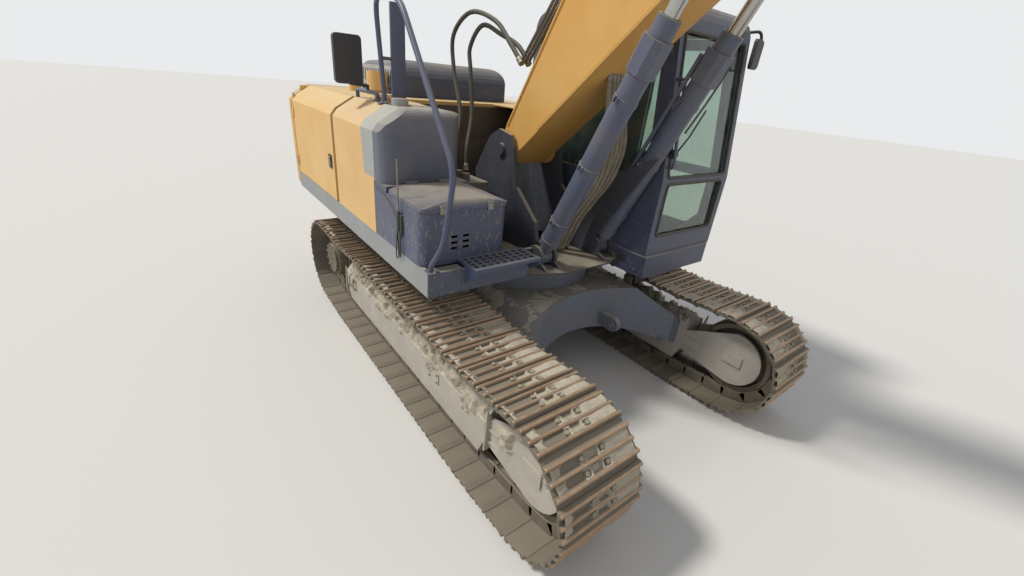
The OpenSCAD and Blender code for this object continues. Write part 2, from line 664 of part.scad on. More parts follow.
// A door cut from the housing's skin, with an inner stiffening frame
module skin(x0, x1, side, t) {
    intersection() {
        bar_x(x0, x1) difference() {
            polygon(house_section(0));
            polygon(concat([[-deck_half_w + t, 0]], house_section(t),
                [[deck_half_w - t, 0]]));
        }
        block([x0 - 1, side > 0 ? deck_half_w - shoulder_in - 4 : -deck_half_w - 1, deck_top_z + 4],
            [x1 + 1, side > 0 ? deck_half_w + 1 : -deck_half_w + shoulder_in + 4, house_top_z + 1]);
    }
}
module side_door(x0, x1, side, slots) {
    difference() {
        union() {
            skin(x0, x1, side, sheet_t);
            skin(x0, x0 + 50, side, panel_t);
            skin(x1 - 50, x1, side, panel_t);
            intersection() {
                skin(x0, x1, side, panel_t);
                for (z = [deck_top_z, shoulder_z - 120])
                    block([x0, -deck_half_w - 1, z], [x1, deck_half_w + 1, z + 60]);
            }
        }
        for (i = [0:1:slots - 1])
            block([x1 - 420, side > 0 ? deck_half_w - 12 : -deck_half_w - 1, 1480 + i * 60],
                [x1 - 150, side > 0 ? deck_half_w + 1 : -deck_half_w + 12, 1510 + i * 60]);
    }
    // Latch near the front edge and two hinge barrels at the rear edge
    block([x1 - 130, side > 0 ? deck_half_w - 2 : -deck_half_w - 8, 1600],
        [x1 - 80, side > 0 ? deck_half_w + 8 : -deck_half_w + 2, 1680]);
    for (z = side_hinge_z) door_hinge_part(x0 - hinge_back, side, z);
}
module pump_door() {
    color(yellow) side_door(door_rear_x, pump_front_x, -1, 0);
}
module radiator_door() {
    color(yellow) side_door(door_rear_x, -1330, 1, 9);
}
module battery_door() {
    color(yellow) side_door(battery_x[0], battery_x[1], 1, 0);
}

// Fixed half of a standing hinge: a pin held by two lugs that reach out from a post
hinge_pin_r = 6;
barrel_r = 11;
barrel_len = 100;
hinge_out = 4;
side_hinge_z = [1390, 1880];
module fixed_hinge(x, side, z) {
    translate([x, side * (deck_half_w + hinge_out), z - 15])
        cylinder(r = hinge_pin_r, h = barrel_len + 30, $fn = 24);
    for (low = [z - 15, z + barrel_len + seat_gap])
        block([x - 5, min(side * (deck_half_w - post_in - 6), side * (deck_half_w + hinge_out + 6)), low],
            [x + 5, max(side * (deck_half_w - post_in - 6), side * (deck_half_w + hinge_out + 6)),
                low + 14.7]);
}
// Moving half: a barrel with a strap on the door's face
module door_hinge_part(x, side, z) {
    difference() {
        union() {
            translate([x, side * (deck_half_w + hinge_out), z])
                cylinder(r = barrel_r, h = barrel_len, $fn = 32);
            block([x, min(side * (deck_half_w - 1), side * (deck_half_w + hinge_out + 5)), z],
                [x + 60, max(side * (deck_half_w - 1), side * (deck_half_w + hinge_out + 5)),
                    z + barrel_len]);
        }
        translate([x, side * (deck_half_w + hinge_out), z - 1])
            cylinder(r = hinge_pin_r + pin_play, h = barrel_len + 2, $fn = 24);
    }
}

// Raised hood over the engine
hood_top_z = 2525;
hood_hinge = [hood_x[0] - 10, house_top_z + 13];
hood_hinge_y = [-450, 350];
module engine_hood() {
    color(blue_grey) for (y = hood_hinge_y) difference() {
        union() {
            pin_y(hood_hinge, 10, y, y + barrel_len);
            block([hood_hinge[0], y, hood_hinge[1] - 6], [hood_x[0] + 6, y + barrel_len, hood_hinge[1] + 10]);
        }
        pin_y(hood_hinge, hinge_pin_r + pin_play, y - 1, y + barrel_len + 1);
    }
    color(blue_grey) difference() {
        hood_form(0, 0);
        hood_form(8, -20);
        for (i = [0:6]) block([-2250 + i * 62, -hood_half_y - 5, 2300],
            [-2215 + i * 62, -hood_half_y + 30, 2420]);
    }
}
module hood_form(inset, drop) {
    intersection() {
        plate_y(-hood_half_y + inset, hood_half_y - inset) polygon(concat(
            [[hood_x[0] + inset, house_top_z + move_gap + drop]],
            arc([hood_x[0] + 150, hood_top_z - 150 - 30], 150 - inset, 180, 90, 6),
            arc([hood_x[1] - 190, hood_top_z - 190], 190 - inset, 90, 15, 6),
            [[hood_x[1] - inset, house_top_z + move_gap + drop]]));
        bar_x(hood_x[0] - 10, hood_x[1] + 10) polygon(concat([[-hood_half_y + inset, 2000]],
            arc([-hood_half_y + 120, hood_top_z - 120], 120 - inset, 180, 90, 6),
            arc([hood_half_y - 120, hood_top_z - 120], 120 - inset, 90, 0, 6),
            [[hood_half_y - inset, 2000]]));
    }
}

// Tanks on the right, the fuel tank with its big rounded front corners
tank_x = [-1010, -535, 50];
tank_in_y = -745;
tank_low_z = 1700;
toolbox_back_x = -125;
module tank_section(x0, x1, r) {
    intersection() {
        bar_x(x0, x1) intersection() {
            polygon(house_section(0));
            round_rect([-deck_half_w, 900], [tank_in_y, house_top_z], r);
        }
        block([x0, -deck_half_w, deck_top_z + 0.3], [x1, tank_in_y, house_top_z]);
    }
}
module hydraulic_tank() {
    color(yellow) {
        difference() {
            tank_section(tank_x[0], tank_x[1] - 0.3, 30);
            block([tank_x[0] + 20, -deck_half_w + 20, deck_top_z + 20],
                [tank_x[1] - 20, tank_in_y - 20, shoulder_z - 20]);
        }
        translate([-800, -1000, house_top_z - 1]) cylinder(r = 85, h = 46, $fn = 40);
        translate([-620, -1080, house_top_z - 1]) cylinder(r = 60, h = 36, $fn = 40);
    }
}
module fuel_tank() {
    color(blue_grey) {
        difference() {
        intersection() {
            tank_section(tank_x[1], tank_x[2], 70);
            plate_y(-1500, 0) polygon(concat([[tank_x[1], 1000], [toolbox_back_x, 1000],
                [toolbox_back_x, tank_low_z], [tank_x[2], tank_low_z]],
                arc([tank_x[2] - 70, house_top_z - 70], 70, 0, 90, 6), [[tank_x[1], house_top_z]]));
            // Rounded corner in plan
            translate([0, 0, 1000]) linear_extrude(1400) round_rect([-1200, -deck_half_w],
                [tank_x[2], tank_in_y], 90);
        }
            block([tank_x[1] + 20, -deck_half_w + 20, deck_top_z + 20],
                [toolbox_back_x - 20, tank_in_y - 20, shoulder_z - 20]);
            block([toolbox_back_x - 60, -deck_half_w + 90, tank_low_z + 20],
                [tank_x[2] - 30, tank_in_y - 40, shoulder_z - 20]);
        }
        translate([-300, -1080, house_top_z - 1]) cylinder(r = 62, h = 50, $fn = 40);
    }
}

// Toolbox in front of the tank, with its crowned lid
box_x = [-120, 630];
box_y = [-deck_half_w + 2, -700];
box_rim_z = 1655;
box_wall = 9;
lid_back_x = 95;
lid_hinge = [lid_back_x - 4, box_rim_z + 64];
lid_hinge_y = [-1220, -950];
module toolbox() {
    color(blue_grey) {
        difference() {
            translate([0, 0, deck_top_z + 0.3]) linear_extrude(box_rim_z - deck_top_z)
                round_rect([box_x[0], box_y[0]], [box_x[1], box_y[1]], 60);
            translate([0, 0, deck_top_z + 20]) linear_extrude(600)
                round_rect([lid_back_x + 30, box_y[0] + box_wall],
                    [box_x[1] - box_wall, box_y[1] - box_wall], 46);
            for (y = [-1150, -1060], z = [1390, 1430, 1470])
                block([box_x[1] - 30, y, z], [box_x[1] + 5, y + 50, z + 20]);
            block([box_x[0] - 5, box_y[0] - 5, deck_top_z + 20],
                [lid_back_x, box_y[1] - box_wall, box_rim_z - 20]);
        }
        block([box_x[0], box_y[0], deck_top_z + 0.3], [lid_back_x, box_y[0] + box_wall, box_rim_z]);
        // Ledge behind the lid, up to the tank
        block([box_x[0] + 2, box_y[0] + 2, box_rim_z - 1],
            [lid_back_x - 8, box_y[1] - 2, tank_low_z - seat_gap]);
        for (y = lid_hinge_y) {
            pin_y(lid_hinge, 5, y - 12, y + 92);
            for (low = [y - 12, y + 80 + seat_gap])
                block([lid_hinge[0] - 12, low, tank_low_z - 2],
                    [lid_hinge[0] + 2, low + 11.7, lid_hinge[1] + 4]);
        }
    }
}
module toolbox_lid() {
    lid_z = box_rim_z + move_gap;
    color(blue_grey) for (y = lid_hinge_y) difference() {
        union() {
            pin_y(lid_hinge, 9, y, y + 80);
            block([lid_hinge[0], y, lid_hinge[1] - 14], [lid_back_x + 24, y + 80, lid_hinge[1] - 1]);
        }
        pin_y(lid_hinge, 5 + pin_play, y - 1, y + 81);
    }
    color(blue_grey) difference() {
        lid_form(0, lid_z);
        lid_form(8, lid_z - 20);
    }
}
module lid_form(inset, z0) {
    intersection() {
        translate([0, 0, z0]) linear_extrude(200)
            round_rect([lid_back_x + inset, box_y[0] - 2 + inset],
                [box_x[1] + 14 - inset, box_y[1] + 6 - inset], 60 - inset);
        plate_y(-1500, 0) polygon(concat([[lid_back_x, z0 - 10], [lid_back_x, box_rim_z + 55 - inset]],
            [[lid_back_x + 120, box_rim_z + 68 - inset], [box_x[1] - 130, box_rim_z + 66 - inset]],
            arc([box_x[1] - 46, box_rim_z + 6], 60 - inset, 72, 0, 5), [[box_x[1] + 14 - inset, z0 - 10]]));
        bar_x(0, 900) polygon(concat([[box_y[1] + 6 - inset, z0 - 10]],
            arc([(box_y[0] + box_y[1]) / 2, box_rim_z + 70 - 1300 - inset], 1300, 75.5, 104.5, 8),
            [[box_y[0] - 2 + inset, z0 - 10]]));
    }
}
module deck_step() {
    color(dark) {
        difference() {
            block([box_x[1] + seat_gap, -1095, deck_top_z + 0.3], [860, -545, deck_top_z + 24]);
            for (i = [0:8], x = [655:46:825]) block([x, -1080 + i * 58, deck_top_z - 10],
                [x + 30, -1040 + i * 58, deck_top_z + 40]);
        }
        block([deck_front_x + 0.3, -1095, deck_z + 60], [deck_front_x + 14, -545, deck_top_z + 1]);
        for (y = [-1095, -557]) plate_y(y, y + 12)
            polygon([[deck_front_x + 0.3, deck_z + 60], [860, deck_top_z - 20], [860, deck_top_z + 1],
                [deck_front_x + 0.3, deck_top_z + 1]]);
    }
}
module control_valve() {
    color(dark) {
        difference() {
            block([-900, -700, beam_top_z + seat_gap], [-160, -340, 1620]);
            block([-875, -675, beam_top_z + 20], [-185, -365, 1600]);
        }
        for (i = [0:5]) translate([-840 + i * 120, -520, 1619]) cylinder(r = 34, h = 70, $fn = 24);
    }
}

rail_y = -1300;
module handrails() {
    color(blue_grey) {
        pipe([[deck_front_x - 30, rail_y - 38, deck_top_z + 0.3],
            [deck_front_x - 30, rail_y - 38, deck_top_z + 40], [800, rail_y, 1500], [905, rail_y, 1965],
            [235, rail_y, 2800], [-180, rail_y + 40, 2860], [-420, rail_y + 110, 2820],
            [-430, rail_y + 155, house_top_z + 60], [-430, rail_y + 155, house_top_z + 0.3]], 21, 12);
        // Flat post and the low rail along the tank's top
        block([-470, -1075, house_top_z + 0.3], [-440, -965, 2860]);
        pipe([[-455, -1060, 2500], [-425, -1164, 2500]], 12, 12);
        pipe([[-1000, -1150, house_top_z + 0.4], [-1000, -1150, house_top_z + 60],
            [-560, -1150, house_top_z + 60], [-560, -1150, house_top_z + 0.4]], 16, 12);
    }
}
module mirror_part() {
    color(dark) {
        round_box([-780, -1400, 2300], [-735, -1190, 2640], 30);
        pipe([[-757, -1295, 2310], [-757, -1280, house_top_z + 110], [-757, -1150, house_top_z + 100],
            [-757, -1150, house_top_z + 76.4]], 12);
    }
}
module air_cleaner() {
    color(yellow) {
        translate([-1560, -760, house_top_z + 0.3]) cylinder(r = 60, h = 40, $fn = 40);
        translate([-1560, -760, house_top_z + 40]) cylinder(r = 98, h = 165, $fn = 48);
    }
    color(dark) {
        translate([-1950, -850, house_top_z + 0.3]) cylinder(r = 60, h = 330, $fn = 40);
        translate([-1950, -850, house_top_z + 280])
            rotate([0, -35, 0]) cylinder(r = 56, h = 180, $fn = 40);
    }
}

// Cab: side view with a leaning windscreen, hollow, one wall thickness all round
cab_low_z = deck_z + 34;
belt_z = 1850;
function cab_side(inset) = concat(
    [[-cab_rear_x + inset, cab_low_z + inset]],
    arc([cab_front_x - 90, cab_low_z + 90], 90 - inset * 0.6, -90, 0, 4),
    [[cab_front_x - inset, belt_z]],
    arc([cab_front_x - 330, cab_top_z - 190], 190 - inset, 8, 90, 6),
    arc([-cab_rear_x + 170, cab_top_z - 200], 170 - inset, 90, 180, 6));
module cab_form(inset) {
    intersection() {
        plate_y(cab_right_y + inset, cab_left_y - inset) polygon(cab_side(inset));
        // Roof edges rounded in front view
        bar_x(-900, 1200) polygon(concat([[cab_right_y + inset, 1000]],
            arc([cab_right_y + 90, cab_top_z - 90], 90 - inset * 0.7, 180, 90, 5),
            arc([cab_left_y - 110, cab_top_z - 110], 110 - inset * 0.7, 90, 0, 5),
            [[cab_left_y - inset, 1000]]));
    }
}
// Window outlines: front ones as [y, z], side ones as [x, z]
front_low = [[cab_right_y + 75, 1410], [cab_left_y - 85, 1410], [cab_left_y - 85, belt_z - 25],
    [cab_right_y + 75, belt_z - 25]];
front_high = [[cab_right_y + 60, belt_z + 25], [cab_left_y - 70, belt_z + 25], [cab_left_y - 70, 2850],
    [cab_right_y + 60, 2850]];
right_window = [[-cab_rear_x + 90, belt_z - 60], [cab_front_x - 150, belt_z - 60],
    [cab_front_x - 250, 2840], [-cab_rear_x + 90, 2840]];
rear_window = [[cab_right_y + 110, 2060], [cab_left_y - 120, 2060], [cab_left_y - 120, 2780],
    [cab_right_y + 110, 2780]];
door_line = [[20, cab_low_z + 70], [cab_front_x - 190, cab_low_z + 70], [cab_front_x - 75, cab_low_z + 240],
    [cab_front_x - 75, belt_z], [cab_front_x - 235, 2900], [20, 2900]];
// The space between the cab's outer and inner sheets, clear of its windows
module wall_hollow() {
    difference() {
        cab_form(cab_sheet);
        cab_form(cab_wall - cab_sheet);
        bar_x(300, 1200) offset(delta = cab_sheet) polygon(front_low);
        bar_x(300, 1200) offset(delta = cab_sheet) polygon(front_high);
        plate_y(0, cab_right_y + 200) offset(delta = cab_sheet) polygon(right_window);
        bar_x(-900, -300) offset(delta = cab_sheet) polygon(rear_window);
        plate_y(cab_left_y - 200, cab_left_y + 50) offset(delta = cab_sheet) polygon(door_line);
        block([-60 - cab_sheet, cab_right_y + 150 - cab_sheet, 2700],
            [480 + cab_sheet, cab_left_y - 160 + cab_sheet, 3300]);
        block([-cab_rear_x, cab_right_y, 1000], [1100, cab_left_y, cab_low_z + cab_wall + 1]);
    }
}
module cab_shell() {
    color(blue_grey) {
        difference() {
            cab_form(0);
            cab_form(cab_wall);
            wall_hollow();
            bar_x(300, 1200) offset(r = 40, $fn = 24) offset(delta = -40) polygon(front_low);
            bar_x(300, 1200) offset(r = 30, $fn = 24) offset(delta = -30) polygon(front_high);
            plate_y(0, cab_right_y + 200) polygon(right_window);
            bar_x(-900, -300) polygon(rear_window);
            plate_y(cab_left_y - 200, cab_left_y + 50) polygon(door_line);
            block([-60, cab_right_y + 150, 2800], [480, cab_left_y - 160, 3300]);
        }
        for (z = cab_hinge_z) {
            translate([door_hinge[0], door_hinge[1], z - 18]) cylinder(r = 7, h = 146, $fn = 32);
            for (low = [z - 18, z + 110 + seat_gap])
                block([door_hinge[0] - 12, cab_left_y - 6, low],
                    [door_hinge[0] + 12, door_hinge[1] + 10, low + 17.7]);
        }
        // Roof hatch, lamp bar and the four mounts under the floor
        block([-60.3 + 5, cab_right_y + 155, cab_top_z - 40], [475, cab_left_y - 165, cab_top_z - 12]);
        for (x = [-cab_rear_x + 120, cab_front_x - 330], y = [cab_right_y + 110, cab_left_y - 130])
            translate([x, y, deck_z + deck_t + seat_gap])
                cylinder(r = 55, h = cab_low_z - deck_z - 29, $fn = 32);
    }
}
cab_sheet = 7;
pane_t = 6;
pane_gap = 0.4;
module cab_glass() {
    color(glass) {
        intersection() {
            bar_x(300, 1200) offset(r = 40, $fn = 24) offset(delta = -40 - pane_gap) polygon(front_low);
            difference() {
                plate_y(cab_right_y, cab_left_y) polygon(cab_side(20));
                plate_y(cab_right_y - 1, cab_left_y + 1) polygon(cab_side(26));
            }
        }
        intersection() {
            bar_x(300, 1200) offset(r = 30, $fn = 24) offset(delta = -30 - pane_gap) polygon(front_high);
            difference() {
                plate_y(cab_right_y, cab_left_y) polygon(cab_side(20));
                plate_y(cab_right_y - 1, cab_left_y + 1) polygon(cab_side(26));
            }
        }
        plate_y(cab_right_y + 20, cab_right_y + 20 + pane_t) offset(delta = -pane_gap) polygon(right_window);
        bar_x(-cab_rear_x + 20, -cab_rear_x + 20 + pane_t) offset(delta = -pane_gap) polygon(rear_window);
    }
}
door_gap = 7;
door_hinge = [0, cab_left_y + 22];
cab_hinge_z = [1500, 2300];
module cab_door() {
    color(blue_grey) {
        plate_y(cab_left_y - cab_wall, cab_left_y - 2) difference() {
            offset(delta = -door_gap) polygon(door_line);
            polygon(door_pane_low);
            polygon(door_pane_high);
        }
        for (z = cab_hinge_z) difference() {
            union() {
                translate([door_hinge[0], door_hinge[1], z]) cylinder(r = 14, h = 110, $fn = 32);
                block([door_hinge[0], cab_left_y + 6, z], [90, cab_left_y + 30, z + 110]);
                block([50, cab_left_y - 4, z], [90, cab_left_y + 30, z + 110]);
            }
            translate([door_hinge[0], door_hinge[1], z - 1]) cylinder(r = 7 + pin_play, h = 112, $fn = 32);
        }
        block([cab_front_x - 300, cab_left_y - 4, 1780], [cab_front_x - 180, cab_left_y + 18, 1825]);
    }
}
door_pane_low = [[100, cab_low_z + 190], [cab_front_x - 260, cab_low_z + 190],
    [cab_front_x - 150, cab_low_z + 320],
    [cab_front_x - 150, belt_z - 40], [100, belt_z - 40]];
door_pane_high = [[100, belt_z + 30], [cab_front_x - 150, belt_z + 30], [cab_front_x - 290, 2820],
    [100, 2820]];
module cab_door_glass() {
    color(glass) plate_y(cab_left_y - 34, cab_left_y - 34 + pane_t) {
        offset(delta = -pane_gap) polygon(door_pane_low);
        offset(delta = -pane_gap) polygon(door_pane_high);
    }
}
seat_y = 880;
floor_z = cab_low_z + cab_wall;
module seat_base() {
    color(dark) {
        block([-250, seat_y - 190, floor_z + 0.3], [250, seat_y + 190, floor_z + 330]);
        block([-230, seat_y - 230, floor_z + 329], [270, seat_y + 230, floor_z + 370]);
        block([-300, seat_y - 40, floor_z + 360], [-262, seat_y + 40, floor_z + 900]);
        block([-300, seat_y - 40, floor_z + 335], [-225, seat_y + 40, floor_z + 369]);
    }
}
module seat_cushions() {
    color("#35383d") {
        round_box([-225, seat_y - 245, floor_z + 370.3], [285, seat_y + 245, floor_z + 490], 40);
        translate([0, seat_y + 245, 0]) rotate([90, 0, 0]) linear_extrude(490)
            polygon([[-261.5, floor_z + 500], [-170, floor_z + 500], [-190, floor_z + 1000],
                [-261.5, floor_z + 1020]]);
        round_box([-261.5, seat_y - 130, floor_z + 1035], [-190, seat_y + 130, floor_z + 1190], 30);
    }
}
module cab_controls() {
    color(dark) {
        for (y = [seat_y - 400, seat_y + 260]) {
            block([-200, y, floor_z + 0.3], [330, y + 130, floor_z + 520]);
            translate([250, y + 65, floor_z + 519]) cylinder(r = 34, h = 30, $fn = 32);
            translate([250, y + 65, floor_z + 540]) cylinder(r = 12, h = 160, $fn = 24);
            translate([250, y + 65, floor_z + 700]) sphere(r = 30, $fn = 32);
        }
        for (y = [seat_y - 110, seat_y + 60]) {
            block([610, y, floor_z + 0.3], [760, y + 70, floor_z + 30]);
            pipe([[700, y + 35, floor_z + 20], [640, y + 35, floor_z + 330]], 9);
        }
    }
}

// Boom: side view with its bend, a box of plates round a hollow
boom_plan = concat(
    arc([0, 0], 122, 130, 255, 8),
    [[1550, 489], [2120, 700]], [[2480, 740]], [[5600, -105]],
    arc([boom_len, 0], 112, -80, 80, 6),
    [[5560, 135], [2760, 1385]], [[2560, 1428], [2330, 1402]], [[1560, 1185], [960, 935]]);
foot_boss_r = 128;
tip_boss_r = 104;
module boom_line() {
    translate(foot) rotate(boom_rise) polygon(boom_plan);
}
boom_end_w = arm_w + 190;
module boom() {
    color(yellow) difference() {
        union() {
            difference() {
                plate_y(-boom_w / 2, boom_w / 2) boom_line();
                plate_y(-boom_w / 2 + boom_plate, boom_w / 2 - boom_plate)
                    translate(foot) rotate(boom_rise) polygon([[200, 5], [1600, 518],
                        [2130, 714], [2470, 752], [4990, 76], [4990, 374], [2750, 1372],
                        [2560, 1412], [2340, 1387], [1580, 1177], [980, 928], [120, 230]]);
                // Fork that holds the arm
                plate_y(-arm_w / 2 - move_gap, arm_w / 2 + move_gap)
                    translate(foot) rotate(boom_rise) polygon([[5050, -400], [6000, -400], [6000, 500],
                        [5050, 500]]);
            }
            pins_y(foot, foot_boss_r, boom_w / 2 - 5, girder_in - move_gap);
            pins_y(tip, tip_boss_r, boom_w / 2 - 5, boom_end_w / 2);
            pins_y(boom_eye, 92, boom_w / 2 - 5, cyl_y - 55 - move_gap);
            plates_y(62, 92) translate(foot) rotate(boom_rise) polygon(concat([[2870, 1300]],
                arc([3050, 1430], 80, 140, -20, 8), [[3270, 1150]]));
        }
        pin_y(foot, foot_pin_r + pin_play, -400, 400);
    }
    color(steel) {
        pin_y(tip, 45, -boom_end_w / 2 - 22, boom_end_w / 2 + 22);
        pin_y(arm_foot, 40, -112, 112);
    }
}
// Steel pipes along the boom's top left, with clamps and a lamp
module boom_pipes() {
    function at(s, n, y) = let(p = on_boom(s, n)) [p[0], y, p[1]];
    color(yellow) for (y = [120, 155, 190])
        pipe([at(1000, 1010, y), at(1560, 1238, y), at(2330, 1455, y), at(2560, 1480, y),
            at(2700, 1470, y)], 13);
    // Clamps stand on the boom's top, turned with its slope
    color(dark) for (c = [[[960, 935], [1560, 1185], 150], [[1560, 1185], [2330, 1402], 200],
            [[1560, 1185], [2330, 1402], 700]])
        translate([0, 100, 0]) at_boom(along(c[0], heading(c[0], c[1]), c[2]), heading(c[0], c[1]))
            translate([0, 0, seat_gap]) cube([40, 110, 66]);
    color(dark) translate([0, boom_w / 2 + seat_gap, 0]) at_boom([1440, 860], 0) cube([130, 60, 110]);
}
module at_boom(s, slope) {
    p = on_boom(s[0], s[1]);
    translate([p[0], 0, p[1]]) rotate([0, -boom_rise - slope, 0]) children();
}

// A cylinder's barrel in side view, drawn from its foot pin along X
neck = 130;
module barrel(length, r, head_len) {
    side = r + 8;
    rotate([0, 90, 0]) translate([0, 0, neck]) cylinder(r = r, h = length - head_len - neck + 1, $fn = fine);
    // Square head block with chamfered edges, a round gland in front of it, a weld ring near the foot
    bar_x(length - head_len, length - 105) polygon([for (i = [0:3], c = [-0.5, 0.5])
        [cos(i * 90) - c * sin(i * 90), sin(i * 90) + c * cos(i * 90)] * side]);
    rotate([0, 90, 0]) translate([0, 0, length - 106]) cylinder(r = r - 5, h = 106, $fn = fine);
    rotate([0, 90, 0]) translate([0, 0, neck + 30]) cylinder(r = r + 5, h = 24, $fn = fine);
}
module barrel_bore(length, rod_r) {
    rotate([0, 90, 0]) translate([0, 0, 160]) cylinder(r = rod_r + 6, h = length - 160 - 60, $fn = fine);
    rotate([0, 90, 0]) translate([0, 0, length - 62]) cylinder(r = rod_r + seat_gap, h = 70, $fn = fine);
}
module aimed(at, dir, y) {
    translate([at[0], y, at[1]]) rotate([0, -dir, 0]) children();
}
module eye(r, w, hole) {
    difference() {
        rotate([90, 0, 0]) cylinder(r = r, h = w, center = true, $fn = fine);
        if (hole > 0) rotate([90, 0, 0]) cylinder(r = hole, h = w + 2, center = true, $fn = fine);
    }
}
module cylinder_barrel(at, dir, y, length, r, rod_r, eye_w, pin_r) {
    aimed(at, dir, y) difference() {
        union() {
            barrel(length, r, 300);
            eye(r * 0.92, eye_w, 0);
            rotate([0, 90, 0]) cylinder(r = eye_w / 2 - 2, h = neck + 5, $fn = fine);
        }
        barrel_bore(length, rod_r);
        rotate([90, 0, 0]) cylinder(r = pin_r + pin_play, h = 400, center = true, $fn = fine);
    }
}
// A rod with a long stretch inside the barrel; its eye carries the pin
module cylinder_rod(at, dir, y, from, to, rod_r, eye_w, eye_r) {
    aimed(at, dir, y) {
        rotate([0, 90, 0]) translate([0, 0, from]) cylinder(r = rod_r, h = to - from - 20, $fn = fine);
        translate([to, 0, 0]) eye(eye_r, eye_w, 0);
    }
}
boom_rod_to = norm(boom_eye - cyl_foot);
module boom_barrels() {
    color(blue_grey) for (s = [-1, 1]) {
        cylinder_barrel(cyl_foot, boom_dir, s * cyl_y, boom_barrel_len, 72, 42, 100, 45);
        // Feed pipe and port block along the inner side
        aimed(cyl_foot, boom_dir, s * cyl_y) {
            translate([250, -s * 44, 78]) cube([70, 50, 50], center = true);
            rotate([0, 90, 0]) translate([-82, -s * 52, 240])
                cylinder(r = 15, h = boom_barrel_len - 400, $fn = 24);
        }
    }
}
module boom_rods() {
    color(chrome) for (s = [-1, 1])
        cylinder_rod(cyl_foot, boom_dir, s * cyl_y, 1080, boom_rod_to, 42, 110, 88);
}
arm_rod_to = norm(arm_ear - arm_foot);
module arm_barrel() {
    color(blue_grey) cylinder_barrel(arm_foot, arm_cyl_dir, 0, arm_barrel_len, 80, 50, 108, 40);
}
module arm_rod() {
    color(chrome) cylinder_rod(arm_foot, arm_cyl_dir, 0, 1450, arm_rod_to, 50, 100, 92);
}
bucket_rod_to = norm(link_top - bucket_cyl_foot);
module bucket_barrel() {
    color(blue_grey) cylinder_barrel(bucket_cyl_foot, bucket_cyl_dir, 0, bucket_barrel_len, 68, 40, 100, 36);
}
module bucket_rod() {
    color(chrome) cylinder_rod(bucket_cyl_foot, bucket_cyl_dir, 0, 1010, bucket_rod_to, 40, 180, 78);
}

// Arm: side view, [along the arm, out to the front]
arm_ear_at = [arm_ear_len * cos(ear_turn), arm_ear_len * sin(ear_turn)];
arm_plan = concat(
    arc([0, 0], 125, 180, 265, 5),
    [[900, -95], [arm_len - 130, -82]],
    arc([arm_len, 0], 92, -70, 70, 6),
    [[arm_len - 430, 68], [560, 330], [150, 400]],
    [[-60, 430], [-400, 420]],
    arc(arm_ear_at, 98, 60, 215, 6));
module arm_line() {
    translate(tip) rotate(arm_dir) children();
}
arm_tip_w = arm_w;
module arm() {
    color(yellow) difference() {
        union() {
            difference() {
                plate_y(-arm_w / 2, arm_w / 2) arm_line() polygon(arm_plan);
                plate_y(-arm_w / 2 + arm_plate, arm_w / 2 - arm_plate) arm_line() difference() {
                    polygon([[-390, 140], [-100, 30], [60, -92], [arm_len - 260, -66],
                        [arm_len - 260, 46], [arm_len - 610, 74],
                        [550, 312], [145, 382], [-60, 410], [-390, 400]]);
                    circle(r = 95, $fn = fine);
                    translate([arm_len - 430, 20]) circle(r = 60, $fn = fine);
                }
                // Slot for the arm cylinder's eye
                plate_y(-60 - move_gap, 60 + move_gap) arm_line()
                    polygon([[-1100, -50], [-470, -50], [-420, 200], [-470, 700], [-1100, 700]]);
            }
            plates_y(58, 84) arm_line() polygon(concat([[-150, 380]], arc([80, 480], 72, 150, 20, 6),
                [[330, 350]]));
        }
        pin_y(tip, 45 + pin_play, -400, 400);
        pin_y(bucket_pin, 42 + pin_play, -400, 400);
    }
    color(steel) {
        pins_y(arm_ear, 45, 60 + move_gap, arm_w / 2 + 18);
        pin_y(bucket_cyl_foot, 36, -100, 100);
        pin_y(rocker_pin, 36, -bar_in - bar_t - 2, bar_in + bar_t + 2);
    }
}

// Rocker bars outside the arm, the connecting link between them, open at their common pin
link_in = arm_w / 2 + move_gap;
link_t = 28;
bar_in = link_in + link_t + move_gap;
bar_t = 26;
module bar_line(a, b, r) {
    difference() {
        hull() {
            translate(a) circle(r = r, $fn = 32);
            translate(b) circle(r = r, $fn = 32);
        }
        translate(a) circle(r = 36 + pin_play, $fn = fine);
    }
}
module rocker_bars() {
    color(yellow) plates_y(bar_in, bar_in + bar_t) bar_line(rocker_pin, link_top, 68);
    color(steel) pins_y(link_top, 40, bar_in + bar_t - 1, bar_in + bar_t + 4);
}
lift_hole_r = 25;
module bucket_link() {
    color(yellow) {
        plates_y(link_in, link_in + link_t) bar_line(link_ear, link_top, 66);
        pin_y(mid(link_ear, link_top), 45, -link_in - 1, link_in + 1);
        // Lifting eye under the cross tube
        difference() {
            at = along(mid(link_ear, link_top), heading(link_ear, link_top) - 90, 88);
            plate_y(-22, 22) hull() {
                translate(mid(link_ear, link_top)) circle(r = 40, $fn = 32);
                translate(at) circle(r = lift_hole_r + 28, $fn = 32);
            }
            pin_y(at, lift_hole_r, -30, 30);
        }
    }
}

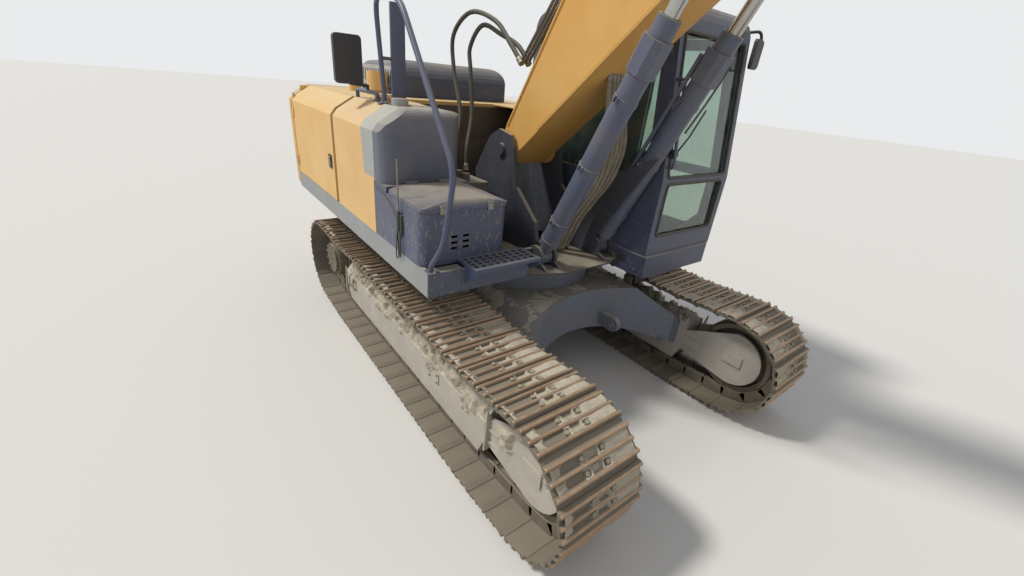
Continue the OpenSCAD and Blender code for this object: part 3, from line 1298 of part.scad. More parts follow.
// Bucket: side view from its pin, towards the teeth and away from them
lip = [1290, 0];
heel = [643, -91];
heel_r = 500;
bucket_line = concat([lip], arc(heel, heel_r, -33, -178, 12), [[150, 0]]);
function shell_line(t) = concat([lip + [-8, -4]], arc(heel, heel_r - t, -33, -178, 12),
    [[150 + t, 60], [lip[0], 60]]);
ear_in = bar_in + bar_t + move_gap;
module bucket_place() {
    translate(bucket_pin) rotate(tip_dir) mirror([0, 1]) children();
}
module bucket() {
    ear_at = [ear_gap * cos(tip_dir - ear_dir), ear_gap * sin(tip_dir - ear_dir)];
    color(blue_grey) {
        plate_y(-bucket_w / 2, bucket_w / 2) bucket_place() difference() {
            polygon(bucket_line);
            polygon(shell_line(bucket_plate));
        }
        plates_y(bucket_w / 2 - bucket_plate, bucket_w / 2) bucket_place() polygon(bucket_line);
        // Ears round the two pins
        plates_y(ear_in, ear_in + 36) bucket_place() difference() {
            polygon(concat(arc([0, 0], 92, 60, 150, 5), arc(ear_at, 84, 120, 260, 6),
                [[150, -420], [330, -430], [300, -60], [200, 10]]));
            translate(heel) circle(r = heel_r - bucket_plate / 2, $fn = 96);
        }
        // Side cutters at the front of the side plates
        plates_y(bucket_w / 2 - 1, bucket_w / 2 + 16) bucket_place()
            polygon([[880, -70], [900, 6], [1060, 22], [1250, 14], [1290, -30], [1200, -130]]);
        // Wear bars under the heel
        for (y = [-380, -130, 120, 350]) plate_y(y, y + 30) bucket_place() difference() {
            polygon(concat(arc(heel, heel_r + 22, -36, -110, 10), arc(heel, heel_r - 2, -110, -36, 10)));
        }
    }
    color(steel) {
        pin_y(bucket_pin, 42, -ear_in - 60, ear_in + 60);
        pins_y(bucket_pin, 70, arm_w / 2 + move_gap, ear_in + 1);
        pin_y(link_ear, 36, -ear_in - 50, ear_in + 50);
        // Cutting edge and teeth
        plate_y(-bucket_w / 2 - 4, bucket_w / 2 + 4) bucket_place()
            polygon([[1230, -36], [1320, 0], [1312, 24], [1215, 0]]);
        for (i = [0:bucket_teeth - 1]) {
            y = -bucket_w / 2 + 60 + i * (bucket_w - 120) / (bucket_teeth - 1);
            plate_y(y - 38, y + 38) bucket_place() polygon([[1300, -34], [bucket_reach, -4],
                [bucket_reach, 6], [1300, 38]]);
            // Adapter that carries the tooth
            plate_y(y - 52, y + 52) bucket_place() polygon([[1180, -40], [1225, -62], [1345, -40],
                [1345, 40], [1235, 48],
                [1180, 16]]);
        }
    }
}

x_frame();
track_frame(-1);  // track_frame_right
track_frame(1);  // track_frame_left
track(-1);  // track_right
track(1);  // track_left
sprockets();
idlers();
rollers(-1);  // rollers_right
rollers(1);  // rollers_left
slew_ring();
main_frame();
deck_skirt();
counterweight();
engine_block();
radiator();
house_panels();
hydraulic_tank();
fuel_tank();
toolbox();
control_valve();
deck_step();
handrails();
mirror_part();  // mirror
air_cleaner();
cab_shell();
cab_glass();
seat_base();
seat_cushions();
cab_controls();
cab_door();
cab_door_glass();
engine_hood();
pump_door();
battery_door();
radiator_door();
toolbox_lid();
boom();
boom_pipes();
boom_barrels();
boom_rods();
arm();
arm_barrel();
arm_rod();
bucket_barrel();
bucket_rod();
rocker_bars();
bucket_link();
bucket();
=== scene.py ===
# Crawler excavator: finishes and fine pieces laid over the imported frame
import math

import bmesh
import bpy
from mathutils import Matrix, Vector, noise
from mathutils.bvhtree import BVHTree


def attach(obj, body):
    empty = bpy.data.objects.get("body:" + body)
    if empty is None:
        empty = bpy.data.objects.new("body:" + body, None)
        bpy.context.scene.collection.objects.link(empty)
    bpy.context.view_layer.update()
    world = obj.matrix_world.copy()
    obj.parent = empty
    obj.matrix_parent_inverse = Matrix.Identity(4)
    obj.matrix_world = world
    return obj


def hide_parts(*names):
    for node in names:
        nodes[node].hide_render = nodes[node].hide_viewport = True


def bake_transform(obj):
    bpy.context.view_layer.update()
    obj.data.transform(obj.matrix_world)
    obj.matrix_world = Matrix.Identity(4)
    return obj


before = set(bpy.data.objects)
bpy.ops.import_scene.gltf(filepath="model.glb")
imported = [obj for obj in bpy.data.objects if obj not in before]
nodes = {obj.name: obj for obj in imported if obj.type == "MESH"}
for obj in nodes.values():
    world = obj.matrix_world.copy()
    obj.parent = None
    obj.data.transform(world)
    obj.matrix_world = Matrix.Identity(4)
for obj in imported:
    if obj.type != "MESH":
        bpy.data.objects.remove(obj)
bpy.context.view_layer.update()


# Camera and studio
PHOTO_PLACE = (2.973, -2.507, 2.442)
# The way that the camera looks, how far down, and its roll, in degrees
PHOTO_AZIMUTH, PHOTO_DOWN, PHOTO_ROLL = 140.81, 25.65, 5.68
# Its focal length and the picture's width, in pixels
PHOTO_FOCAL, PHOTO_WIDE = 431.7, 1024


def photo_camera():
    """The camera where the photograph was taken from."""
    azimuth, down, roll = (math.radians(a) for a in (PHOTO_AZIMUTH, PHOTO_DOWN, PHOTO_ROLL))
    ahead = Vector((math.cos(down) * math.cos(azimuth), math.cos(down) * math.sin(azimuth), -math.sin(down)))
    right = ahead.cross(Vector((0, 0, 1))).normalized()
    up = right.cross(ahead)
    across = math.cos(roll) * right + math.sin(roll) * up
    tall = math.cos(roll) * up - math.sin(roll) * right
    lens = bpy.data.cameras.new("photo_camera")
    lens.sensor_width = 36
    lens.lens = lens.sensor_width * PHOTO_FOCAL / PHOTO_WIDE
    lens.clip_start, lens.clip_end = 0.05, 300
    seat = bpy.data.objects.new("photo_camera", lens)
    bpy.context.scene.collection.objects.link(seat)
    turn = Matrix((across, tall, -ahead)).transposed().to_4x4()
    seat.matrix_world = Matrix.Translation(PHOTO_PLACE) @ turn
    bpy.context.scene.camera = seat


def linear(code):
    """An sRGB hex colour as the linear values that a shader takes."""
    parts = [int(code[i:i + 2], 16) / 255 for i in (0, 2, 4)]
    return tuple(c / 12.92 if c <= 0.04045 else ((c + 0.055) / 1.055) ** 2.4 for c in parts) + (1,)


# Settings of shader nodes that come up often
PLUS, TIMES = {"operation": "ADD"}, {"operation": "MULTIPLY"}
TIMES_PLUS, LARGER = {"operation": "MULTIPLY_ADD"}, {"operation": "MAXIMUM"}
COLOURS = {"data_type": "RGBA"}


def put(tree, kind, settings=None, **sockets):
    """Adds one shader node with its settings, its values and its links; _2 is the socket of that number."""
    made = tree.nodes.new("ShaderNode" + kind)
    for word, value in (settings or {}).items():
        setattr(made, word, value)
    for word, value in sockets.items():
        place = made.inputs[int(word[1:]) if word[0] == "_" else word.replace("_", " ")]
        if isinstance(value, bpy.types.NodeSocket):
            tree.links.new(value, place)
        else:
            place.default_value = value
    return made


def studio():
    """A pale floor, soft light from the machine's right and rear, a plain level."""
    scene = bpy.context.scene
    scene.view_settings.view_transform = "Standard"
    world = bpy.data.worlds.new("studio_air")
    scene.world = world
    world.use_nodes = True
    air = world.node_tree
    air.nodes.clear()
    ray = put(air, "LightPath")
    seen = put(air, "Math", LARGER, _0=ray.outputs["Is Camera Ray"], _1=ray.outputs["Is Glossy Ray"])
    seen = put(air, "Math", LARGER, _0=seen.outputs[0], _1=ray.outputs["Is Transmission Ray"])
    soft = put(air, "Background", Color=linear("EEF3FB"), Strength=0.52)
    pale = put(air, "Background", Color=linear("E9EBEC"), Strength=1.0)
    both = put(air, "MixShader", _0=seen.outputs[0], _1=soft.outputs[0], _2=pale.outputs[0])
    put(air, "OutputWorld", Surface=both.outputs[0])
    sun = bpy.data.lights.new("window_light", "SUN")
    sun.energy, sun.angle, sun.color = 2.5, math.radians(9), (1.0, 0.965, 0.91)
    lamp = bpy.data.objects.new("window_light", sun)
    scene.collection.objects.link(lamp)
    towards_light = Vector((-0.50, -0.62, 0.95))
    lamp.rotation_euler = towards_light.to_track_quat("Z", "Y").to_euler()
    ground = bpy.data.meshes.new("studio_floor")
    far = 60
    ground.from_pydata([(-far, -far, 0), (far, -far, 0), (far, far, 0), (-far, far, 0)], [], [(0, 1, 2, 3)])
    floor = bpy.data.objects.new("studio_floor", ground)
    scene.collection.objects.link(floor)
    card = bpy.data.materials.new("painted_studio_board")
    card.use_nodes = True
    shader = card.node_tree.nodes["Principled BSDF"]
    shader.inputs["Base Color"].default_value = linear("DAD8D3")
    shader.inputs["Roughness"].default_value = 0.9
    floor.data.materials.append(card)


# Finishes: one builder lays coat, fading, bare edges, dust, run marks and splashes over each other
SPRAYED_EDGE = 0.003
RUN_MM, DROP_MM = 45, 20


def masked(tree, tone, spot, uneven, areas):
    """Lays other coats over one, each where its area's rule holds, with a sprayed edge 6 mm wide."""
    height = put(tree, "SeparateXYZ", Vector=spot)
    for hue, other, by_x, by_z, least, *lowest in areas:
        slope = put(tree, "Math", TIMES, _0=height.outputs["X"], _1=by_x).outputs[0]
        slope = put(tree, "Math", TIMES_PLUS, _0=height.outputs["Z"], _1=by_z, _2=slope).outputs[0]
        inside = put(tree, "MapRange", Value=slope, From_Min=least - SPRAYED_EDGE,
                     From_Max=least + SPRAYED_EDGE).outputs[0]
        for z in lowest:
            above = put(tree, "MapRange", Value=height.outputs["Z"], From_Min=z - SPRAYED_EDGE,
                        From_Max=z + SPRAYED_EDGE).outputs[0]
            inside = put(tree, "Math", TIMES, _0=inside, _1=above).outputs[0]
        hue = put(tree, "Mix", COLOURS, _0=uneven, _6=linear(hue), _7=linear(other)).outputs[2]
        tone = put(tree, "Mix", COLOURS, _0=inside, _6=tone, _7=hue).outputs[2]
    return tone


def worn(tree, tone, face, speck, wear_mm, under):
    """Bares the metal or the primer under the coat in specks along the edges."""
    eased_face = put(tree, "Bevel", {"samples": 4}, Radius=wear_mm / 1000).outputs[0]
    turn = put(tree, "VectorMath", {"operation": "DOT_PRODUCT"}, _0=eased_face, _1=face).outputs[1]
    edge = put(tree, "MapRange", Value=turn, From_Min=0.985, From_Max=0.86).outputs[0]
    rubbed = put(tree, "MapRange", Value=speck, From_Min=0.40, From_Max=0.56).outputs[0]
    bare = put(tree, "Math", TIMES, _0=edge, _1=rubbed).outputs[0]
    return put(tree, "Mix", COLOURS, _0=bare, _6=tone, _7=linear(under)).outputs[2]


def dusted(tree, spot, face, patch, speck, laid, blown, runs, splash):
    """How much dust hides the coat: lying on it, blown into it, run down it and splashed up it."""
    up = put(tree, "SeparateXYZ", Vector=face).outputs["Z"]
    lying = put(tree, "MapRange", Value=up, From_Min=0.25, From_Max=0.98, To_Max=laid).outputs[0]
    spread = put(tree, "MapRange", Value=patch, From_Min=0.3, From_Max=0.62, To_Min=0.2,
                 To_Max=1.25).outputs[0]
    lying = put(tree, "Math", TIMES, _0=lying, _1=spread).outputs[0]
    film = put(tree, "MapRange", Value=patch, From_Min=0.62, From_Max=0.36, To_Min=blown * 0.35,
               To_Max=blown).outputs[0]
    grit = put(tree, "MapRange", Value=speck, From_Min=0.55, From_Max=0.70, To_Max=blown * 1.5).outputs[0]
    cover = put(tree, "Math", PLUS, _0=lying, _1=film).outputs[0]
    cover = put(tree, "Math", LARGER, _0=cover, _1=grit).outputs[0]
    if runs:
        drawn = put(tree, "Mapping", Vector=spot, Scale=(1, 1, 0.07)).outputs[0]
        mark = put(tree, "TexNoise", Vector=drawn, Scale=1000 / RUN_MM, Detail=4, Roughness=0.6).outputs[0]
        mark = put(tree, "MapRange", Value=mark, From_Min=0.52, From_Max=0.72, To_Max=runs).outputs[0]
        cover = put(tree, "Math", LARGER, _0=cover, _1=mark).outputs[0]
    if splash:
        # Drops of slurry, drawn out downwards as they dried
        drawn = put(tree, "Mapping", Vector=spot, Scale=(1, 1, 0.38)).outputs[0]
        drop = put(tree, "TexNoise", Vector=drawn, Scale=1000 / DROP_MM, Detail=3, Roughness=0.8).outputs[0]
        drop = put(tree, "MapRange", Value=drop, From_Min=0.57, From_Max=0.63, To_Max=splash).outputs[0]
        cover = put(tree, "Math", LARGER, _0=cover, _1=drop).outputs[0]
    return put(tree, "Clamp", Value=cover).outputs[0]


def weathered(name, coat, faded, dust, rough, metal=0.0, under="6E6256", wear_mm=0.0, laid=0.5, blown=0.2,
              patch_mm=420, speck_mm=14, runs=0.0, splash=0.0, dents_mm=0.5, ior=1.5, areas=()):
    """A hard surface: coat mottled to faded, bare at its edges, with dust over it, and slightly dented."""
    material = bpy.data.materials.new(name)
    material.use_nodes = True
    tree = material.node_tree
    tree.nodes.clear()
    spot = put(tree, "TexCoord").outputs["Object"]
    face = put(tree, "NewGeometry").outputs["Normal"]
    patch = put(tree, "TexNoise", Vector=spot, Scale=1000 / patch_mm, Detail=7, Roughness=0.62).outputs[0]
    speck = put(tree, "TexNoise", Vector=spot, Scale=1000 / speck_mm, Detail=4, Roughness=0.7).outputs[0]
    uneven = put(tree, "MapRange", Value=patch, From_Min=0.32, From_Max=0.68).outputs[0]
    tone = put(tree, "Mix", COLOURS, _0=uneven, _6=linear(coat), _7=linear(faded)).outputs[2]
    tone = masked(tree, tone, spot, uneven, areas)
    if wear_mm:
        tone = worn(tree, tone, face, speck, wear_mm, under)
    cover = dusted(tree, spot, face, patch, speck, laid, blown, runs, splash)
    tone = put(tree, "Mix", COLOURS, _0=cover, _6=tone, _7=linear(dust)).outputs[2]
    matt = put(tree, "MapRange", Value=cover, To_Min=rough, To_Max=0.92).outputs[0]
    relief = put(tree, "Math", TIMES_PLUS, _0=speck, _1=0.6, _2=patch).outputs[0]
    relief = put(tree, "Bump", Height=relief, Distance=dents_mm / 1000, Strength=0.7).outputs[0]
    shader = put(tree, "BsdfPrincipled", Base_Color=tone, Roughness=matt, Normal=relief)
    if metal:
        shine = put(tree, "MapRange", Value=cover, To_Min=metal, To_Max=0.0).outputs[0]
        tree.links.new(shine, shader.inputs["Metallic"])
    else:
        shader.inputs["IOR"].default_value = ior
    put(tree, "OutputMaterial", Surface=shader.outputs[0])
    return material


finish = {}
# A masked area is its coat, the faded hue and a rule: x times the first number plus z times the second
# is more than the third. A fourth number is the least height. All are in metres at rest
TANK_AREAS = (("8D9396", "A2A5A2", 1.0, 0.10, -0.145, 1.715), ("3E4A63", "4B566C", 1.0, 0.0, -0.112, 1.60))
BULKHEAD_AREAS = (("1E2126", "2B2E35", 1.0, 0.0, -1.055), ("DCA959", "E0B877", 0.0, 1.0, 2.165))
SKIRT_AREAS = (("3A4560", "4B566C", 1.0, 0.0, 0.727),)


def finishes():
    """Each finish starts from the real material and the way its surface was made."""
    pale, clay = "B3A88F", "A69C88"
    # Alkyd enamel sprayed on rolled sheet: satin, chalked by sun, thin dust, primer at the edges
    finish["yellow"] = weathered("alkyd_enamel_sprayed_yellow", "D79B3E", "DDAE63", "C9B58C", 0.42,
                                 under="7A5B35", wear_mm=3, laid=0.35, blown=0.12, runs=0.08, dents_mm=0.6)
    finish["panel_yellow"] = weathered("alkyd_enamel_chalked_yellow", "DCA959", "E0B877", "D3C19C", 0.5,
                                       under="7A5B35", wear_mm=3, laid=0.5, blown=0.2, runs=0.15,
                                       dents_mm=0.8)
    # The same enamel masked in three areas on the tanks: yellow, warm grey, dark blue
    finish["tank_paint"] = weathered("alkyd_enamel_masked_areas", "DCA959", "E0B877", "C9BEA8", 0.45,
                                     under="5A5A5A", wear_mm=3, laid=0.5, blown=0.2, runs=0.15,
                                     dents_mm=0.8, areas=TANK_AREAS)
    finish["navy"] = weathered("alkyd_enamel_sprayed_navy", "2C3A5E", "42506E", pale, 0.4, under="8B8C8A",
                               wear_mm=3, laid=0.5, blown=0.14, runs=0.2, splash=0.5, dents_mm=0.6)
    # The same enamel in the shaded well round the boom's foot, with painted shade: coat and dust colours are
    # darkened for the shadow that falls there
    finish["painted_shade_navy"] = weathered("alkyd_enamel_navy_painted_shade", "232B3D", "343C4C", "958C79", 0.5,
                                    under="5E5C58", wear_mm=3, laid=0.75, blown=0.16, runs=0.2, splash=0.25,
                                    dents_mm=0.8)
    finish["bulkheads"] = weathered("alkyd_enamel_bulkhead_areas", "DCA959", "E0B877", "D3C19C", 0.5,
                                    under="7A5B35", wear_mm=3, laid=0.5, blown=0.2, runs=0.15, dents_mm=0.8,
                                    areas=BULKHEAD_AREAS)
    # The same enamel on the cylinders and on the cab, less splashed than the toolbox beside the track
    finish["tube_navy"] = weathered("alkyd_enamel_sprayed_navy_cylinder", "2C3A5E", "44526F", pale, 0.4,
                                    under="8B8C8A", wear_mm=2, laid=0.55, blown=0.22, runs=0.12,
                                    splash=0.15, dents_mm=0.3)
    finish["cab_navy"] = weathered("alkyd_enamel_sprayed_navy_cab", "2B3859", "404D6A", pale, 0.38,
                                   under="8B8C8A", wear_mm=3, laid=0.5, blown=0.14, runs=0.18, splash=0.28,
                                   dents_mm=0.5)
    finish["navy_clean"] = weathered("alkyd_enamel_sprayed_navy_tube", "2F3D5F", "435272", pale, 0.36,
                                     under="8B8C8A", laid=0.25, blown=0.12, dents_mm=0.3)
    finish["skirt_grey"] = weathered("alkyd_enamel_sprayed_grey", "858A8E", "94979A", pale, 0.5,
                                     under="5E5548", wear_mm=4, laid=0.5, blown=0.13, runs=0.12, splash=0.4,
                                     areas=SKIRT_AREAS)
    finish["bucket"] = weathered("abrasion_steel_scoured_enamel", "4B525E", "6B6860", clay, 0.5, metal=0.2,
                                 under="9C8C78", wear_mm=14, laid=0.55, blown=0.35, runs=0.25, patch_mm=260,
                                 dents_mm=2.5)
    finish["skirt_pale"] = weathered("alkyd_enamel_sprayed_pale_grey", "A9AFB2", "B5B9B8", pale, 0.5,
                                     under="5E5548", laid=0.5, blown=0.15, runs=0.1)
    finish["frame"] = weathered("alkyd_enamel_under_dried_clay", "46546F", "627089", clay, 0.6,
                                under="7D7468", wear_mm=4, laid=0.55, blown=0.36, runs=0.35, splash=0.45,
                                patch_mm=300, dents_mm=1.2)
    finish["track_frame"] = weathered("alkyd_enamel_caked_with_clay", "86827D", "A39E95", "BEB6A8", 0.7,
                                      under="7D7468", wear_mm=4, laid=0.9, blown=0.8, runs=0.4,
                                      patch_mm=200, dents_mm=2.5)
    finish["castings"] = weathered("grey_iron_sand_cast_enamelled", "D5A04A", "DDB06A", pale, 0.55,
                                   under="6A5A45", wear_mm=5, laid=0.5, blown=0.2, runs=0.2, patch_mm=500,
                                   dents_mm=2.0)
    # Boron steel, hot rolled: dull brown skin that the ground scours to a soft shine
    finish["shoe"] = weathered("boron_steel_hot_rolled", "4F483F", "64594B", "A29987", 0.6, metal=0.2,
                               laid=0.32, blown=0.4, patch_mm=120, dents_mm=1.6)
    finish["scoured"] = weathered("boron_steel_scoured_by_ground", "96785C", "AE9276", "BBB09C", 0.42,
                                  metal=0.5, laid=0.2, blown=0.12, patch_mm=60, dents_mm=0.5)
    finish["forged"] = weathered("carbon_steel_drop_forged", "4A4440", "5C534A", "A3967E", 0.6, metal=0.35,
                                 laid=0.7, blown=0.45, patch_mm=150, dents_mm=1.2)
    finish["bare"] = weathered("mild_steel_machined", "8C8A86", "77726A", pale, 0.38, metal=0.85, laid=0.35,
                               blown=0.15, patch_mm=90, dents_mm=0.15)
    finish["bolt"] = weathered("carbon_steel_zinc_plated", "8E8C80", "7A756A", pale, 0.45, metal=0.7,
                               laid=0.45, blown=0.3, patch_mm=60, dents_mm=0.2)
    # Steel bar, hard chromed and ground: near mirror, a light oil film holds some dust
    finish["chrome"] = weathered("steel_bar_hard_chromed", "B9BCBE", "A8A49B", "B7A88C", 0.14, metal=1.0,
                                 laid=0.1, blown=0.08, patch_mm=260, dents_mm=0.02)
    finish["dark"] = weathered("mild_steel_black_enamelled", "26282C", "34363A", pale, 0.5, laid=0.6,
                               blown=0.25, dents_mm=0.4)
    finish["engine"] = weathered("grey_iron_cast_engine_enamel", "3A3D40", "4A4A48", pale, 0.6, laid=0.6,
                                 blown=0.3, patch_mm=160, dents_mm=1.2)
    finish["fins"] = weathered("aluminium_brazed_fins", "7D7F80", "6C6A64", pale, 0.45, metal=0.8, laid=0.4,
                               blown=0.3, patch_mm=90, dents_mm=0.8)
    # ABS, moulded with a fine spark grain; 1 mm grain is drawn at 4 mm to show
    finish["trim"] = weathered("abs_moulded_grained", "2B2C2E", "353638", "8E877A", 0.55, laid=0.25,
                               blown=0.06, speck_mm=4, dents_mm=0.25)
    finish["rubber"] = weathered("nitrile_rubber_extruded", "222324", "2E2E2D", "9A907C", 0.6, laid=0.4,
                                 blown=0.22, patch_mm=80, dents_mm=0.2)
    finish["hose_dusty"] = weathered("nitrile_rubber_braided_hose", "4A4842", "6B675B", "B0A68F", 0.7,
                                     laid=0.7, blown=0.6, patch_mm=60, dents_mm=0.6)
    finish["lens"] = weathered("polycarbonate_moulded_lens", "C9CCC8", "BFC2BD", pale, 0.12, laid=0.2,
                               blown=0.1, dents_mm=0.3, ior=1.58)
    finish["amber"] = weathered("acrylic_moulded_amber", "C8641E", "C8641E", pale, 0.2, laid=0.2, blown=0.1,
                                dents_mm=0.3, ior=1.49)
    finish["silvered"] = weathered("float_glass_silvered", "C4C9CB", "C4C9CB", pale, 0.05, metal=1.0,
                                   laid=0.1, blown=0.06, dents_mm=0.01)
    # Clay soil thrown up wet and dried: matt, crumbling, cracked at about 30 mm
    finish["mud"] = weathered("clay_soil_dried", "958C79", "B5AC9A", "C6BEAD", 0.95, laid=0.5, blown=0.3,
                              patch_mm=50, speck_mm=9, dents_mm=9)
    finish["cloth"] = woven("polyester_woven_seat_cloth")
    finish["glass"] = pane("soda_lime_float_glass_toughened")


THREAD_MM = 5


def woven(name):
    """Polyester cloth, plain woven: matt, soft sheen; 1 mm threads are drawn at 5 mm so that they show."""
    material = bpy.data.materials.new(name)
    material.use_nodes = True
    tree = material.node_tree
    tree.nodes.clear()
    spot = put(tree, "TexCoord").outputs["Object"]
    rows = [put(tree, "TexWave", {"bands_direction": way}, Vector=spot, Scale=1000 / THREAD_MM / 6.283,
                Distortion=0.4).outputs[0] for way in ("X", "Y", "Z")]
    threads = put(tree, "Math", TIMES, _0=rows[0], _1=rows[1]).outputs[0]
    threads = put(tree, "Math", PLUS, _0=threads, _1=rows[2]).outputs[0]
    worn = put(tree, "TexNoise", Vector=spot, Scale=1000 / 160, Detail=5).outputs[0]
    shade = put(tree, "MapRange", Value=threads, To_Min=0.0, To_Max=0.6).outputs[0]
    tone = put(tree, "Mix", COLOURS, _0=shade, _6=linear("2C2F34"), _7=linear("4A4E54")).outputs[2]
    worn = put(tree, "MapRange", Value=worn, From_Min=0.45, From_Max=0.75, To_Max=0.45).outputs[0]
    tone = put(tree, "Mix", COLOURS, _0=worn, _6=tone, _7=linear("6B675D")).outputs[2]
    relief = put(tree, "Bump", Height=threads, Distance=0.0008, Strength=0.8).outputs[0]
    shader = put(tree, "BsdfPrincipled", Base_Color=tone, Roughness=0.88, Normal=relief, Sheen_Weight=0.25)
    put(tree, "OutputMaterial", Surface=shader.outputs[0])
    return material


def pane(name):
    """Float glass, toughened: clear with a green cast, dust films it in patches and dulls it."""
    material = bpy.data.materials.new(name)
    material.use_nodes = True
    tree = material.node_tree
    tree.nodes.clear()
    spot = put(tree, "TexCoord").outputs["Object"]
    film = put(tree, "TexNoise", Vector=spot, Scale=1000 / 130, Detail=8, Roughness=0.7).outputs[0]
    clear = put(tree, "MapRange", Value=film, From_Min=0.66, From_Max=0.38, To_Min=1.0,
                To_Max=0.93).outputs[0]
    matt = put(tree, "MapRange", Value=film, From_Min=0.4, From_Max=0.7, To_Min=0.02, To_Max=0.05).outputs[0]
    shader = put(tree, "BsdfPrincipled", Base_Color=linear("C4D6CC"), Roughness=matt, IOR=1.52,
                 Transmission_Weight=clear)
    put(tree, "OutputMaterial", Surface=shader.outputs[0])
    return material


# main_frame takes a navy darkened as painted shade, for the shadow in the well round the boom's foot
COATS = {
    "x_frame": "frame", "track_frame_right": "track_frame", "track_frame_left": "track_frame",
    "sprockets": "forged", "idlers": "forged", "rollers_right": "forged", "rollers_left": "forged",
    "slew_ring": "forged", "main_frame": "painted_shade_navy", "deck_skirt": "skirt_grey",
    "counterweight": "castings", "engine_block": "engine", "radiator": "fins", "house_panels": "bulkheads",
    "hydraulic_tank": "tank_paint", "fuel_tank": "tank_paint", "toolbox": "navy", "control_valve": "engine",
    "deck_step": "navy_clean", "handrails": "navy_clean", "mirror": "trim", "air_cleaner": "panel_yellow",
    "cab_shell": "cab_navy", "cab_glass": "glass", "seat_base": "dark", "seat_cushions": "cloth",
    "cab_controls": "trim", "cab_door": "cab_navy", "cab_door_glass": "glass", "engine_hood": "cab_navy",
    "pump_door": "panel_yellow", "battery_door": "panel_yellow", "radiator_door": "panel_yellow",
    "toolbox_lid": "navy", "boom": "yellow", "boom_pipes": "dark", "boom_barrels": "tube_navy",
    "boom_rods": "chrome", "arm": "yellow", "arm_barrel": "tube_navy", "arm_rod": "chrome",
    "bucket_barrel": "tube_navy", "bucket_rod": "chrome", "rocker_bars": "yellow", "bucket_link": "yellow",
    "bucket": "bucket", "track_right": "shoe", "track_left": "shoe",
}


def dress_nodes():
    """Every solid of the frame gets its real finish."""
    for name, thing in nodes.items():
        if not thing.data.materials:
            thing.data.materials.append(None)
        for i in range(len(thing.data.materials)):
            thing.data.materials[i] = finish[COATS[name]]


# Making pieces
def shift(x, y, z):
    """A move by x, y and z."""
    return Matrix.Translation((x, y, z))


def spin(degrees, axis):
    """A turn about one axis."""
    return Matrix.Rotation(math.radians(degrees), 4, axis)


def circle(count, part=0.0):
    """The angles of evenly spaced places on a circle, begun a part of one step in."""
    return [2 * math.pi * (k + part) / count for k in range(count)]


def stand(at, out, ahead=(0, 0, 1)):
    """A place whose local Z points out and whose local X lies towards ahead."""
    out = Vector(out).normalized()
    ahead = Vector(ahead)
    nearly_parallel = abs(out.dot(ahead.normalized())) > 0.98
    if nearly_parallel:
        ahead = Vector((1, 0, 0)) if abs(out.x) < 0.9 else Vector((0, 1, 0))
    side = out.cross(ahead).normalized()
    front = side.cross(out)
    return Matrix.Translation(at) @ Matrix((front, side, out)).transposed().to_4x4()


def frame_of(foot, head):
    """A place at foot whose local X runs to head and whose local Y is the machine's."""
    across = Vector((0, 1, 0))
    ahead = (Vector(head) - Vector(foot)).normalized()
    return Matrix.Translation(foot) @ Matrix((ahead, across, ahead.cross(across))).transposed().to_4x4()


def eased(points, parts=6):
    """A smooth route through the points."""
    pts = [Vector(p) for p in points]
    ends = [2 * pts[0] - pts[1]] + pts + [2 * pts[-1] - pts[-2]]
    route = []
    for i in range(1, len(ends) - 2):
        a, b, c, d = ends[i - 1:i + 3]
        for k in range(parts):
            t = k / parts
            route.append(0.5 * (2 * b + (c - a) * t + (2 * a - 5 * b + 4 * c - d) * t * t
                                + (3 * b - a - 3 * c + d) * t ** 3))
    return route + [pts[-1]]


def rounded(points, r=0.08, steps=6, closed=False):
    """A bent route: straight runs with an arc at each corner."""
    pts = [Vector(p) for p in points]
    route = [] if closed else [pts[0]]
    for i in range(0 if closed else 1, len(pts) if closed else len(pts) - 1):
        a, b, c = pts[i - 1], pts[i], pts[(i + 1) % len(pts)]
        cut = min(r, (a - b).length * 0.45, (c - b).length * 0.45)
        p, q = b + (a - b).normalized() * cut, b + (c - b).normalized() * cut
        for k in range(steps + 1):
            t = k / steps
            route.append((1 - t) ** 2 * p + 2 * t * (1 - t) * b + t * t * q)
    return route + ([route[0]] if closed else [pts[-1]])


def oblong(half_x, half_y, r, steps=4):
    """An outline with rounded corners."""
    corners = ((half_x - r, half_y - r, 0), (r - half_x, half_y - r, 90),
               (r - half_x, r - half_y, 180), (half_x - r, r - half_y, 270))
    points = []
    for cx, cy, start in corners:
        for k in range(steps + 1):
            a = math.radians(start + 90 * k / steps)
            points.append((cx + r * math.cos(a), cy + r * math.sin(a)))
    return points


